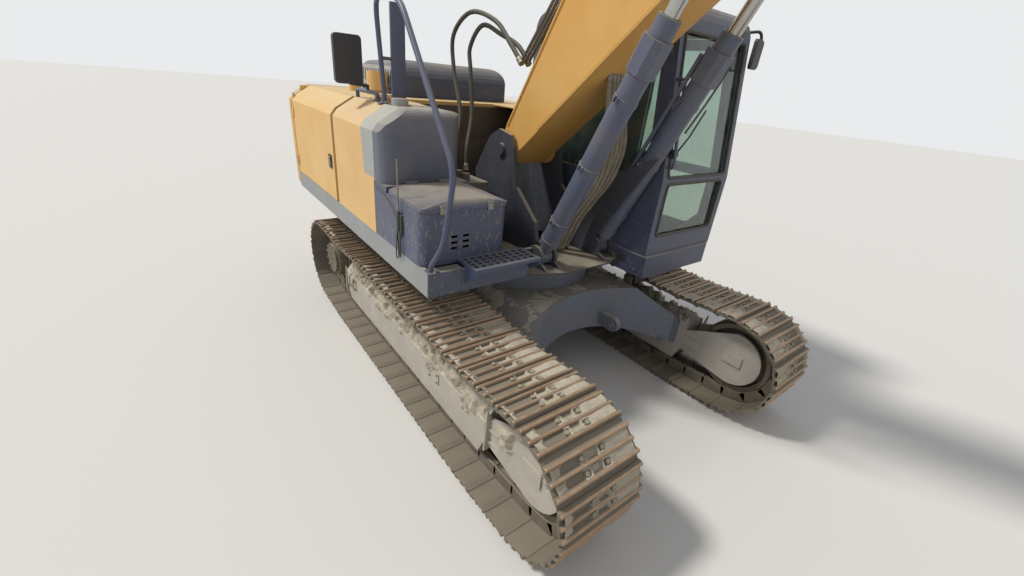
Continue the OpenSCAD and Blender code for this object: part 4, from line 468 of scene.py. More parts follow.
class Piece:
    """One piece in the making: its points and faces, each face with its finish."""

    def __init__(self, name, body, slot, coat):
        self.name, self.body, self.slot, self.coats = name, body, slot, [coat]
        self.points, self.faces, self.marks = [], [], []

    def add(self, points, faces, coat=None):
        """Adds points, and faces that count from the first of them, in the piece's own finish or another."""
        coat = coat or self.coats[0]
        if coat not in self.coats:
            self.coats.append(coat)
        first = len(self.points)
        self.points += [Vector(p) for p in points]
        self.faces += [tuple(first + i for i in f) for f in faces]
        self.marks += [self.coats.index(coat)] * len(faces)

    def ring_stack(self, rings, coat=None, closed_ends=True):
        """Joins rings of equal count into a skin."""
        n = len(rings[0])
        faces = [(k * n + i, k * n + (i + 1) % n, (k + 1) * n + (i + 1) % n, (k + 1) * n + i)
                 for k in range(len(rings) - 1) for i in range(n)]
        if closed_ends:
            faces += [tuple(range(n))[::-1], tuple(range((len(rings) - 1) * n, len(rings) * n))]
        self.add([p for ring in rings for p in ring], faces, coat)

    def sweep(self, route, r, sides=10, coat=None):
        """A round bar, pipe or hose along a route; r is one radius or one for each point."""
        rings, side = [], None
        for i, p in enumerate(route):
            ahead = (route[min(i + 1, len(route) - 1)] - route[max(i - 1, 0)]).normalized()
            if side is None:
                side = ahead.orthogonal().normalized()
            side = (side - side.dot(ahead) * ahead).normalized()
            up = ahead.cross(side)
            size = r[i] if isinstance(r, list) else r
            rings.append([p + size * (math.cos(a) * side + math.sin(a) * up) for a in circle(sides)])
        self.ring_stack(rings, coat)

    def turned(self, place, profile, sides=20, coat=None, hollow=False):
        """A turned form: (radius, height) pairs about the place's Z; a hollow one closes on itself."""
        profile = profile + profile[:1] if hollow else profile
        rings = [[place @ Vector((r * math.cos(a), r * math.sin(a), h)) for a in circle(sides)]
                 for r, h in profile]
        self.ring_stack(rings, coat, not hollow)

    def plate(self, place, outline, thick, ease=0.0, coat=None):
        """A flat plate from its outline, its upper edge eased towards the middle."""
        mid = sum((Vector(p) for p in outline), Vector((0, 0))) / len(outline)
        levels = [(0, 0), (thick - ease, 0), (thick, ease)] if ease else [(0, 0), (thick, 0)]
        rings = []
        for h, inward in levels:
            ring = []
            for p in outline:
                p = Vector(p)
                away = p - mid
                p = p - away.normalized() * inward if away.length else p
                ring.append(place @ Vector((p.x, p.y, h)))
            rings.append(ring)
        self.ring_stack(rings, coat)

    def bolt(self, place, size, coat="bolt"):
        """A hexagon bolt on its washer; size is the width of its head in metres."""
        washer = [(size * 0.62, 0), (size * 0.62, size * 0.09), (size * 0.56, size * 0.12)]
        head = [(size * 0.55, size * 0.1), (size * 0.57, size * 0.46), (size * 0.46, size * 0.55)]
        self.turned(place, washer, 14, coat)
        self.turned(place, head, 6, coat)

    def done(self, sharp=35, bevel=0.0):
        """Makes the object, with hard edges over sharp degrees, and gives it its body."""
        mesh = bpy.data.meshes.new(self.name)
        mesh.from_pydata(self.points, [], self.faces)
        for coat in self.coats:
            mesh.materials.append(finish[coat])
        mesh.polygons.foreach_set("material_index", self.marks)
        form = bmesh.new()
        form.from_mesh(mesh)
        bmesh.ops.recalc_face_normals(form, faces=form.faces)
        form.to_mesh(mesh)
        form.free()
        mesh.shade_smooth()
        mesh.set_sharp_from_angle(angle=math.radians(sharp))
        thing = bpy.data.objects.new(self.name, mesh)
        bpy.context.scene.collection.objects.link(thing)
        if bevel:
            soften = thing.modifiers.new("soft_edges", "BEVEL")
            soften.width, soften.segments, soften.limit_method = bevel, 2, "ANGLE"
        if self.body:
            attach(thing, self.body)
        return thing


def hose(made, points, r):
    """A hose with a crimped ferrule and a hexagon nut of bare steel at each end."""
    route = eased(points)
    made.sweep(route, r)
    nut = [(r * 1.5, 0), (r * 1.5, 0.020)]
    ferrule = [(r * 1.22, 0), (r * 1.3, 0.004), (r * 1.3, 0.036), (r * 1.12, 0.042)]
    for at, to in ((route[0], route[1]), (route[-1], route[-2])):
        out = (to - at).normalized()
        made.turned(stand(at - out * 0.012, out), nut, 6, "bare")
        made.turned(stand(at + out * 0.006, out), ferrule, 14, "bare")


def band(made, place, r, wide, thick):
    """A clamp band round a cylinder, with its two ears and their bolt; local X is the axis."""
    half, inner, outer = wide / 2, r - 0.004, r + thick
    hoop = [(inner, -half), (outer, -half + 0.002), (outer, half - 0.002), (inner, half)]
    made.turned(place @ spin(90, "Y"), hoop, 24, hollow=True)
    for y in (-0.011, 0.011):
        made.plate(place @ shift(0, y - 0.004, inner) @ spin(-90, "X"),
                   [(-half, 0), (half, 0), (half, -0.030), (-half, -0.030)], 0.006)
    made.bolt(place @ shift(0, 0.014, r + 0.012) @ spin(-90, "X"), 0.016, made.coats[0])


def surface(*names):
    """The solids of some nodes as one skin that rays can hit."""
    points, faces = [], []
    for name in names:
        thing = nodes[name]
        first = len(points)
        points += [thing.matrix_world @ v.co for v in thing.data.vertices]
        faces += [tuple(first + i for i in f.vertices) for f in thing.data.polygons]
    return BVHTree.FromPolygons(points, faces)


# Places on the moving pieces, at rest, in metres
BOOM_FOOT_X, BOOM_FOOT_Z, BOOM_TILT = -0.09, 1.91, 20
ARM_PIN_X, ARM_PIN_Z = 5.2475, 3.8527
BOOM_CYLINDER_FOOT_X, BOOM_CYLINDER_FOOT_Z, BOOM_CYLINDER_Y = 0.625, 1.215, 0.32
BOOM_ROD_EYE = (2.375, 1.064)
ARM_CYLINDER_FOOT = (3.05, 1.43)
ARM_ROD_EYE = (5.570, 0, 4.639)
BUCKET_CYLINDER_FOOT = (0.080, 0.480)
BUCKET_ROD_EYE = (5.8863, 0, 1.4122)


def on_boom(s, n, y=0.0):
    """A place s along the boom's straight line from foot to tip and n above that line."""
    a = math.radians(BOOM_TILT)
    return Vector((BOOM_FOOT_X + s * math.cos(a) - n * math.sin(a), y,
                   BOOM_FOOT_Z + s * math.sin(a) + n * math.cos(a)))


def on_arm(s, n, y=0.0):
    """A place s down the hanging arm from its pin and n ahead of it."""
    return Vector((ARM_PIN_X + n, y, ARM_PIN_Z - s))


# Tracks
TRACK_Y = 1.105
# The route of the link pins repeats the solid's; from here to the end of track(), lengths are in
# millimetres, but for those of bolts and plates
PITCH_MM, TEETH, WHEEL_Z = 190, 12, 470
DRIVE_R = TEETH * PITCH_MM / (2 * math.pi)
SPROCKET_X, IDLER_X, REAR_CARRIER_X, FRONT_CARRIER_X = -1745, 1755, -520, 560
PIN_LOW, RUN_END_X, SAG = 78, 1260, 24
# The shoe: half its width, half its length, its outer and inner face above the pins
SHOE_HALF, SHOE_REACH, SHOE_TOP, SHOE_BACK = 300, 91, 52, 42
# Each grouser: its place along the shoe, half its foot, its height
GROUSERS = ((-73, 18, 25), (0, 17, 22.5), (73, 18, 25))
TIP_R, FOOT_Z = 10, 0.5
LIP = ((87, 44), (112, 37), (128, 31), (127, 26), (87, 38))
SLOT_X, SLOT_HALF_X, SLOT_HALF_Y, BOLT_Y = 38.5, 26, 36, 75


def pin_route():
    """The link pins of one track from the side: once round, at equal steps of about one pitch."""
    def bow(cx, start, end, steps=56):
        turns = [math.radians(start + (end - start) * k / steps) for k in range(steps + 1)]
        return [(cx + DRIVE_R * math.cos(a), WHEEL_Z + DRIVE_R * math.sin(a)) for a in turns]
    carry = WHEEL_Z + DRIVE_R - 6
    low = carry - SAG
    top = [((SPROCKET_X + REAR_CARRIER_X) / 2, low), (REAR_CARRIER_X, carry),
           ((REAR_CARRIER_X + FRONT_CARRIER_X) / 2, low), (FRONT_CARRIER_X, carry),
           ((FRONT_CARRIER_X + IDLER_X) / 2, low), (IDLER_X, WHEEL_Z + DRIVE_R)]
    route = (bow(IDLER_X, 90, -94.4) + [(RUN_END_X, PIN_LOW), (-RUN_END_X, PIN_LOW)]
             + bow(SPROCKET_X, -85.6, -270) + top)
    run = [0]
    for a, b in zip(route, route[1:]):
        run.append(run[-1] + math.dist(a, b))
    count = round(run[-1] / PITCH_MM)
    pins, k = [], 0
    for i in range(count):
        s = i * run[-1] / count
        while run[k + 1] < s:
            k += 1
        t = (s - run[k]) / (run[k + 1] - run[k])
        pins.append(tuple(route[k][j] + t * (route[k + 1][j] - route[k][j]) for j in (0, 1)))
    return pins


def shoe_section():
    """The shoe's outer line: three grousers with rounded tips; the flag says scoured."""
    line = [(-SHOE_REACH, 0, 0)]
    for mid, half, tall in GROUSERS:
        line += [(mid - half, FOOT_Z, 0), (mid - half * 0.62, tall - TIP_R, 1)]
        for degrees in (150, 115, 90, 65, 30):
            a = math.radians(degrees)
            line.append((mid + TIP_R * math.cos(a), tall - TIP_R + TIP_R * math.sin(a), 1))
        line += [(mid + half * 0.62, tall - TIP_R, 1), (mid + half, FOOT_Z, 0)]
    return line + [(SHOE_REACH, 0, 0)]


def shoe(made, place, section):
    """The shoe's skin, open at its two slots, with eased ends and a lip towards the next shoe."""
    stations = (-SHOE_HALF, -SHOE_HALF + 4, -SLOT_HALF_Y, SLOT_HALF_Y, SHOE_HALF - 4, SHOE_HALF)
    rings = []
    for y in stations:
        shorter, lower = (0.985, 0.86) if abs(y) == SHOE_HALF else (1, 1.0)
        ring = [(x * shorter, y, SHOE_TOP + z * lower) for x, z, _ in section]
        ring += [(SHOE_REACH, y, SHOE_BACK), (-SHOE_REACH, y, SHOE_BACK)]
        rings.append([place @ (Vector(p) / 1000) for p in ring])
    n = len(rings[0])
    inner_side = (0, 0, 0)
    for k, y in enumerate(stations[:-1]):
        for j in range(n):
            here, there = section[j:j + 2] if j < len(section) - 1 else (inner_side, inner_side)
            in_valley = here[1] == there[1] == FOOT_Z
            if y == -SLOT_HALF_Y and in_valley:
                continue
            jj = (j + 1) % n
            made.add([rings[k][j], rings[k][jj], rings[k + 1][jj], rings[k + 1][j]], [(0, 1, 2, 3)],
                     "scoured" if here[2] and there[2] else "shoe")
    for ring in (rings[0], rings[-1]):
        made.add(ring, [tuple(range(n))])
    # The lip is bent inwards, so that it closes the gap to the next shoe round the idler
    made.ring_stack([[place @ (Vector((x, y, z)) / 1000) for x, z in LIP]
                     for y in (5 - SHOE_HALF, SHOE_HALF - 5)])


def shoe_slots(made, place):
    """Walls of the two slots, with the dark of the link space behind them, and the four shoe bolts."""
    corners = ((-1, -1), (1, -1), (1, 1), (-1, 1))
    for x in (-SLOT_X, SLOT_X):
        hole = [place @ (Vector((x + u * SLOT_HALF_X, v * SLOT_HALF_Y, z)) / 1000)
                for z in (SHOE_TOP - 0.2, SHOE_BACK + 2) for u, v in corners]
        made.add(hole, [(0, 1, 5, 4), (1, 2, 6, 5), (2, 3, 7, 6), (3, 0, 4, 7)])
        for y in (-BOLT_Y, BOLT_Y):
            made.bolt(place @ shift(x / 1000, y / 1000, SHOE_TOP / 1000), 0.027)


def links(made, place):
    """Waisted link plates, two on each side of the bushes, that overlap at the pins."""
    outer_y, inner_y, thick = 88, 62, 20
    for y in (-outer_y, -inner_y, inner_y, outer_y):
        reach = 108 if abs(y) == outer_y else 88
        outline = [(-reach, -50), (-reach + 22, -50), (-46, -46), (46, -46), (reach - 22, -50), (reach, -50),
                   (reach, 8), (reach - 26, 40), (-reach + 26, 40), (-reach, 8)]
        lay = place @ shift(0, (y + thick / 2) / 1000, 0) @ spin(90, "X")
        made.plate(lay, [(u / 1000, v / 1000) for u, v in outline], thick / 1000, 0.004)


def packed_soil(made, place, number, side):
    """Soil between the grousers, level but for an oval pocket in the shoe's outer part, slots and bolts."""
    across, along = 40, 6
    reach_y, wide, bare, full = 276, 62, -3.5, 20
    pocket_y, pocket_from = 152, -40
    for valley in (-SLOT_X, SLOT_X):
        grid = []
        for u in range(across + 1):
            y = -reach_y + 2 * reach_y * u / across
            outer = y * side
            drift = noise.noise(Vector((number * 0.31, y / 170, 5.0 + side)))
            packed_by = 1.2 + 1.1 * drift
            for v in range(along + 1):
                x = valley + (v / along - 0.5) * wide
                width = 2 * (v / along - 0.5)
                lump = noise.noise(Vector((number * 1.7 + x / 40, y / 55, side * 3.0 + valley)))
                bowl = ((outer - pocket_y) / (98 + 60 * drift)) ** 4 + (width * 0.98) ** 2
                fill = min(1.0, max(0.0, (bowl - 0.72 + 0.35 * lump) / 0.35)) if outer > pocket_from else 1.0
                packed = min(1.0, max(0.0, packed_by + 0.5 * lump))
                top = bare + fill * packed * (full + 5 * lump) - 2 * abs(width)
                over_slot = abs(y) < SLOT_HALF_Y + 4 and abs(width) < 0.84
                over_bolt = abs(abs(y) - BOLT_Y) < 20 and abs(width) < 0.5
                if over_slot or over_bolt:
                    top = bare
                grid.append(place @ (Vector((x, y, SHOE_TOP + top)) / 1000))
        w = along + 1
        made.add(grid, [(u * w + v, u * w + v + 1, (u + 1) * w + v + 1, (u + 1) * w + v)
                        for u in range(across) for v in range(along)], "mud")


def track(side, name):
    """One closed track: links, shoes with their slots and bolts, and the soil on them."""
    pins, section = pin_route(), shoe_section()
    made = Piece(name, "undercarriage", "track_steel", "shoe")
    for i, a in enumerate(pins):
        b = pins[(i + 1) % len(pins)]
        # The route runs clockwise seen from the right, so out is to the left of each link
        ahead = Vector((b[0] - a[0], 0, b[1] - a[1])).normalized()
        out = Vector((-ahead.z, 0, ahead.x))
        mid = Vector(((a[0] + b[0]) / 2000, side * TRACK_Y, (a[1] + b[1]) / 2000))
        place = Matrix.Translation(mid) @ Matrix((ahead, Vector((0, 1, 0)), out)).transposed().to_4x4()
        shoe(made, place, section)
        shoe_slots(made, place)
        links(made, place)
        packed_soil(made, place, i, side)
    thing = made.done(sharp=32)
    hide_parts(name.replace("_shoes", ""))


# Undercarriage
def soil(name, names, low, high, step, thick, cover, seed, steep=0.35, side=0, lie=None):
    """Dried clay on the faces of some nodes that look up, or to one side, between two corners of a box.

    thick sets the height of its lumps and cover how much of the faces it hides; it thins out into the paint.
    """
    skin = surface(*names)
    top = 1 if side else 2
    across, along = (0, 2) if side else (0, 1)
    count = [int((high[k] - low[k]) / step) + 1 for k in (across, along)]
    cast = Vector((0, -side, 0)) if side else Vector((0, 0, -1))
    sunk, cliff = -0.003, step * 3
    field = {}
    for i in range(count[0]):
        for j in range(count[1]):
            eye = Vector((0, 0, 0))
            eye[across], eye[along] = low[across] + i * step, low[along] + j * step
            eye[top] = high[top] if side >= 0 else low[top]
            hit, face, _, far = skin.ray_cast(eye, cast)
            if hit is None or far > high[top] - low[top] or -face.dot(cast) < steep:
                continue
            broad = noise.fractal(hit * 4.2 + Vector((0, 0, seed)), 1.0, 2.0, 4)
            lump = noise.fractal(hit * 16 + Vector((0, 0, seed + 7)), 0.8, 2.1, 3)
            crumb = noise.fractal(hit * 48 + Vector((0, 0, seed + 3)), 0.7, 2.1, 3)
            bed = broad * 1.3 + cover + (lie(hit) if lie else 0)
            rise = thick * bed + thick * (0.85 * lump + 0.38 * crumb)
            field[i, j] = (hit, face, max(sunk, min(rise, thick * 1.8)))
    made = Piece(name, "undercarriage", "track_steel", "mud")
    index, points, faces = {}, [], []
    for (i, j), (hit, face, rise) in field.items():
        near = [(i + a, j + b) for a, b in ((1, 0), (-1, 0), (0, 1), (0, -1))]
        edge = any(k not in field or abs(field[k][0][top] - hit[top]) > cliff for k in near)
        index[i, j] = len(points)
        points.append(hit + (face - 0.6 * cast).normalized() * (sunk if edge else rise))
    for i, j in field:
        ring = [(i, j), (i + 1, j), (i + 1, j + 1), (i, j + 1)]
        if all(k in field for k in ring):
            tops = [field[k][0][top] for k in ring]
            if max(tops) - min(tops) < cliff and max(field[k][2] for k in ring) > -0.0025:
                faces.append([index[k] for k in ring])
    used = sorted({k for f in faces for k in f})
    renumber = {k: n for n, k in enumerate(used)}
    made.add([points[k] for k in used], [[renumber[k] for k in f] for f in faces])
    made.done(sharp=60)


def hanging(p):
    """How far the side crust comes down: to a ragged line on the frame, and round the idler's guard."""
    if p.x < 1.4:
        return min(1.0, (p.z - 0.50) * 9)
    from_hub = math.hypot(p.x - IDLER_X / 1000, p.z - WHEEL_Z / 1000)
    return min(0.8, (from_hub - 0.165) * 12) - (0 if p.z > 0.45 else 1.5)


def soil_heaps():
    """Crumbling crusts on the track frames and their guards, thinner ones on the centre frame."""
    for side, word in ((-1, "right"), (1, "left")):
        low_y = side * TRACK_Y - 0.17
        soil("soil_on_frame_" + word, ["track_frame_" + word],
             (-1.42, low_y, 0.40), (1.92, low_y + 0.34, 0.80),
             step=0.011, thick=0.056, cover=0.36, seed=2.0 + side)
        near, far = sorted((side * (TRACK_Y + 0.05), side * (TRACK_Y + 0.25)))
        soil("soil_on_side_" + word, ["track_frame_" + word],
             (-1.36, near, 0.36), (1.96, far, 0.76),
             step=0.012, thick=0.030, cover=0.1, seed=6.0 + side, side=side, lie=hanging)
    soil("soil_on_centre_frame", ["x_frame"], (-1.0, -0.98, 0.42), (1.15, 0.98, 1.0),
         step=0.020, thick=0.010, cover=-0.08, seed=9.0, steep=0.5)


def track_frame_parts():
    """Gussets, the grease valve's cover, roller bolts and ribs on both track frames."""
    for side, word in ((-1, "right"), (1, "left")):
        made = Piece("frame_fittings_" + word, "undercarriage", "track_steel", "track_frame")
        middle = side * TRACK_Y
        face = middle + side * 0.150
        # Three-cornered gussets across both ends of the frame
        for x, tall in ((1.318, 0.60), (-1.372, 0.52)):
            made.plate(stand((x, middle, 0), (1, 0, 0)),
                       [(tall, -side * 0.158), (0.27, -side * 0.166), (0.29, side * 0.02),
                        (tall * 0.62, -side * 0.02)], 0.014, 0.003)
        # Cover over the grease valve of the track's tension spring
        lay = shift(0.62, face, 0.405) @ spin(-90 * side, "X")
        made.plate(lay, oblong(0.075, 0.050, 0.015), 0.008, 0.002)
        for u, v in ((-0.055, -0.032), (0.055, -0.032), (0.055, 0.032), (-0.055, 0.032)):
            made.bolt(lay @ shift(u, v, 0.008), 0.016)
        # Heads of the roller bolts show under the frame's side
        for k in range(8):
            x = -1.15 + 2.3 * k / 7
            for dx in (-0.055, 0.055):
                made.bolt(shift(x + dx, face - side * 0.03, 0.314) @ spin(180, "X"), 0.026)
        # Two bent ribs near the sprocket
        foot, crest = face - side * 0.006, face + side * 0.030
        for x in (-1.20, -1.10):
            bent = rounded([(x, foot, 0.335), (x, crest, 0.37), (x, crest, 0.47), (x, foot, 0.50)], 0.03)
            made.sweep(bent, 0.010, 8)
        made.done(bevel=0.0015)


def final_drives():
    """Bolt circles of the sprockets and of the covers of the final drives."""
    circles = ((24, 0.262, 0.026), (12, 0.150, 0.022), (8, 0.075, 0.018))
    for side, word in ((-1, "right"), (1, "left")):
        made = Piece("final_drive_bolts_" + word, "undercarriage", "track_steel", "bolt")
        skin = surface("sprockets", "track_frame_" + word)
        for count, r, size in circles:
            for a in circle(count, 0.5):
                start = Vector((SPROCKET_X / 1000 + r * math.cos(a), side * 1.5,
                                WHEEL_Z / 1000 + r * math.sin(a)))
                hit, way, _, _ = skin.ray_cast(start, Vector((0, -side, 0)))
                if hit and way.y * side > 0.9:
                    made.bolt(stand(hit - Vector((0, side * 0.001, 0)), (0, side, 0)), size)
        made.done()


# Front end
def cylinders():
    """Clamp bands, gland bolts, grease nipples and feed pipes of all cylinders."""
    # Body, foot, rod eye, length of the barrel, its radius, the rod's radius, one of a pair or not
    rows = []
    for y in (-BOOM_CYLINDER_Y, BOOM_CYLINDER_Y):
        foot = Vector((BOOM_CYLINDER_FOOT_X, y, BOOM_CYLINDER_FOOT_Z))
        rows.append(("boom_barrels", foot, on_boom(*BOOM_ROD_EYE, y), 1.75, 0.072, 0.042, True))
    rows += [("arm_barrel", on_boom(*ARM_CYLINDER_FOOT), ARM_ROD_EYE, 2.02, 0.080, 0.050, False),
             ("bucket_barrel", on_arm(*BUCKET_CYLINDER_FOOT), BUCKET_ROD_EYE, 1.68, 0.068, 0.040, False)]
    for i, (body, foot, head, length, r, rod, paired) in enumerate(rows):
        made = Piece("cylinder_fittings_%d" % i, body, "blue_paint", "tube_navy")
        place = frame_of(foot, head)
        for part in (0.20, 0.47, 0.74) if paired else (0.17, 0.47, 0.76):
            band(made, place @ shift(length * part, 0, 0) @ spin(90 if paired else 0, "X"), r, 0.034, 0.006)
        # Bolts round the gland, sunk on the boom's pair, and the gland's scraper lip
        face = place @ shift(length, 0, 0) @ spin(90, "Y")
        sunk, bolts_r = -0.0095 if paired else 0.0, r - 0.019
        for a in circle(10):
            made.bolt(face @ shift(bolts_r * math.cos(a), bolts_r * math.sin(a), sunk), 0.017)
        lip = [(rod + 0.009, -0.004), (rod + 0.009, 0.001), (rod + 0.002, 0.002), (rod + 0.002, -0.004)]
        made.turned(face, lip, 24, "rubber", hollow=True)
        # Weld ring behind the head block
        weld = [(r - 0.002, -0.012), (r + 0.004, -0.004), (r + 0.006, 0.004), (r - 0.002, 0.004)]
        made.turned(place @ shift(length - 0.302, 0, 0) @ spin(90, "Y"), weld, 28, hollow=True)
        # Grease nipple on the foot's eye
        nipple = [(0.006, -0.012), (0.006, 0.004), (0.004, 0.008), (0.0045, 0.014), (0.002, 0.017)]
        made.turned(place @ shift(-0.085, 0, 0) @ spin(-90, "Y"), nipple, 10, "bare")
        if not paired:
            feed_pipes(made, place, length, r)
        made.done()


# Where hoses and feed pipes meet on a barrel: how far from its foot's eye, and how far to each side
PORT_X, FEED_PIPES_Y = 0.17, (-0.030, 0.030)


def feed_pipes(made, place, length, r):
    """Two steel pipes along a barrel's back, from the port at its foot towards the head block."""
    on_barrel, above = r - 0.004, r + 0.028
    for y, part in zip(FEED_PIPES_Y, (0.62, 0.34)):
        end = length * part
        line = ((PORT_X, on_barrel), (PORT_X, above), (end, above), (end + 0.03, on_barrel))
        made.sweep(rounded([place @ Vector((x, y, z)) for x, z in line], 0.03), 0.011, coat="bare")


BOOM_PIPE_R, ARM_PIPE_R = 0.0125, 0.012
BACK_PIPES_Y, TIP_PIPES_Y, ARM_PIPES_Y = (-0.190, -0.155, -0.120), (0.085, 0.125), (0.068, 0.100)
# Bends of the pipes on the boom's back, of the ones from its crest to its tip and of the arm's
BACK_LINE = ((0.28, 0.600), (0.50, 0.735), (0.93, 1.010), (1.56, 1.238), (2.33, 1.455), (2.56, 1.480),
             (2.76, 1.440))
TIP_LINE = ((2.70, 1.470), (2.95, 1.36), (3.60, 1.065), (4.80, 0.522), (4.93, 0.515))
ARM_LINE = ((-0.12, 0.425), (-0.06, 0.443), (0.02, 0.425), (0.14, 0.418), (0.24, 0.398))


def front_pipes():
    """Steel pipes along the right of the boom's back, and others on to its tip, with their clamps."""
    middle, apart = BACK_PIPES_Y[1], 0.035
    made = Piece("boom_right_pipes", "boom", "dark_steel", "dark")
    for y in BACK_PIPES_Y:
        made.sweep(rounded([on_boom(s, n, y) for s, n in BACK_LINE], 0.16), BOOM_PIPE_R)
    for bend, part in ((2, 0.25), (2, 0.8), (3, 0.3), (3, 0.85)):
        a, b = (on_boom(s, n, middle) for s, n in BACK_LINE[bend:bend + 2])
        place = frame_of(a, b) @ shift((b - a).length * part, 0, 0)
        made.plate(place @ shift(0, 0, -0.052), oblong(0.020, 0.060, 0.004, 2), 0.068, 0.003)
        for y in (-apart / 2, apart / 2):
            made.bolt(place @ shift(0, y, 0.016), 0.016)
    made.done(bevel=0.0015)
    made = Piece("boom_tip_pipes", "boom", "dark_steel", "dark")
    for y in TIP_PIPES_Y:
        made.sweep(rounded([on_boom(s, n, y) for s, n in TIP_LINE], 0.10), BOOM_PIPE_R)
    middle = 0.105
    for s, n in ((3.45, 1.105), (4.05, 0.835), (4.65, 0.562)):
        place = frame_of(on_boom(s, n, middle), on_boom(s + 0.11, n - 0.05, middle))
        made.plate(place @ shift(0, 0, -0.045), oblong(0.020, 0.050, 0.004, 2), 0.060, 0.003)
        made.bolt(place @ shift(0, 0, 0.015), 0.016)
    made.done(bevel=0.0015)


def arm_pipes():
    """Pipes on the arm's front with their clamps."""
    made = Piece("arm_pipes", "arm", "dark_steel", "dark")
    for y in ARM_PIPES_Y:
        made.sweep(rounded([on_arm(s, n, y) for s, n in ARM_LINE], 0.05), ARM_PIPE_R)
    for s in (-0.02, 0.16):
        made.plate(stand(on_arm(s, 0.413, 0.084), (1, 0, 0)), oblong(0.018, 0.045, 0.004, 2), 0.026, 0.002)
    made.done(bevel=0.001)


def boom_lamp():
    """Clear lens and its dark rim on the front of the boom's lamp."""
    made = Piece("boom_lamp_lens", "boom", "cab_trim", "lens")
    n, y = 0.915, 0.245
    front = on_boom(1.571, n, y) - on_boom(1.5, n, y)
    lay = stand(on_boom(1.5695, n, y), front, (0, 1, 0))
    made.plate(lay, oblong(0.026, 0.048, 0.008), 0.006, 0.002, "trim")
    made.plate(lay @ shift(0, 0, 0.004), oblong(0.021, 0.043, 0.007), 0.006, 0.003)
    made.done()


def weld_beads():
    """The boom's flanges stand a little proud of its sides; fillet welds run along under them."""
    made = Piece("boom_flange_edges", "boom", "yellow_paint", "yellow")
    edge_y, edge_in, bead_y, bead_in, bead_step = 0.2165, 0.008, 0.2155, 0.021, 0.011
    tops = [(0.05, 0.19), (0.96, 0.935), (1.56, 1.185), (2.33, 1.402), (2.56, 1.428), (2.76, 1.385),
            (5.40, 0.210)]
    lows = [(0.42, 0.0555), (1.55, 0.489), (2.12, 0.700), (2.48, 0.740), (5.40, -0.050)]
    # On the left the lower edge stays plain beside the hose guard
    left_lows = [(1.20, 0.355)] + lows[1:]
    for line, inset, side in ((tops, -1, -1), (tops, -1, 1), (lows, 1, -1), (left_lows, 1, 1)):
        edge = [on_boom(s, n + inset * edge_in, side * edge_y) for s, n in line]
        made.sweep(rounded(edge, 0.12), 0.0105, 4)
        bead = []
        for (s0, n0), (s1, n1) in zip(line, line[1:]):
            steps = int(math.dist((s0, n0), (s1, n1)) / bead_step)
            bead += [on_boom(s0 + (s1 - s0) * k / steps, n0 + (n1 - n0) * k / steps + inset * bead_in,
                             side * bead_y) for k in range(steps)]
        made.sweep(bead, [0.0045 + 0.0014 * (k % 2) for k in range(len(bead))], 6)
    made.done(sharp=50)


# Hoses
def bending_hose(name, coat, route, r):
    """One smooth hose across a joint, from a body to the next."""
    piece = Piece(name, None, "dark_steel", coat)
    hose(piece, route, r)
    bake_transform(piece.done(sharp=60))


def hoses():
    """Loops and bundle from the deck to the boom, and pairs to the arm cylinder and the arm."""
    # Big loops behind the boom's foot up to the pipes on its back
    for k, y in enumerate((BACK_PIPES_Y[0], BACK_PIPES_Y[-1])):
        lag = 0.09 * k
        route = [(-0.62 + lag, y - 0.22, 1.66), (-0.66 + lag, y - 0.20, 1.84), (-0.76 + lag, y - 0.10, 2.12),
                 (-0.95 + lag * 2, y - 0.07, 2.48), (-0.99 + lag * 2, y - 0.06, 2.76 - lag),
                 (-0.76 + lag, y - 0.03, 2.93 - lag), (-0.42, y, 2.86 - lag), (-0.18, y, 2.69),
                 on_boom(*BACK_LINE[0], y)]
        bending_hose("loop_hose_%d" % (k + 1), "rubber", route, 0.019)
    # Dusty bundle between the boom cylinders: from the swivel up to the fittings under the boom
    for k in range(6):
        y = -0.045 + 0.042 * k
        dip = 0.020 * (k % 3) - 0.012 * k
        route = [(0.46 + dip, y * 0.7, 1.150), (0.50 + dip, y * 0.8, 1.27), (0.56 + dip, y * 0.9, 1.44),
                 (0.66 + dip, y, 1.62), (0.78 + dip * 0.6, y * 1.02, 1.82), (0.83, y, 2.06),
                 (0.80, y * 0.9, 2.28), on_boom(1.02, 0.300, y * 0.9)]
        bending_hose("boom_hose_%d" % (k + 1), "hose_dusty", route, 0.0175)
    # Pairs from the boom's back to the arm cylinder, and from the boom's tip to the arm
    for word, y, y0, y1 in (("right", -0.045, -0.135, -0.13), ("left", 0.045, 0.155, 0.15)):
        route = [on_boom(*BACK_LINE[-1], y0), on_boom(2.90, 1.40, y1), on_boom(3.00, 1.55, y * 2.6),
                 on_boom(3.10, 1.61, y * 1.4), on_boom(3.21, 1.56, y * 0.8), on_boom(3.247, 1.496, y * 0.67)]
        bending_hose("arm_cylinder_hose_" + word, "rubber", route, 0.015)
    for y in TIP_PIPES_Y:
        route = [on_boom(*TIP_LINE[-1], y), on_boom(5.08, 0.50, y), on_boom(5.25, 0.62, y),
                 on_arm(-0.52, 0.02, y), on_arm(-0.47, 0.26, y), on_arm(-0.30, 0.40, y * 0.9),
                 on_arm(*ARM_LINE[0], y * 0.8)]
        bending_hose("arm_hose_%d" % round(y * 1000), "rubber", route, 0.015)


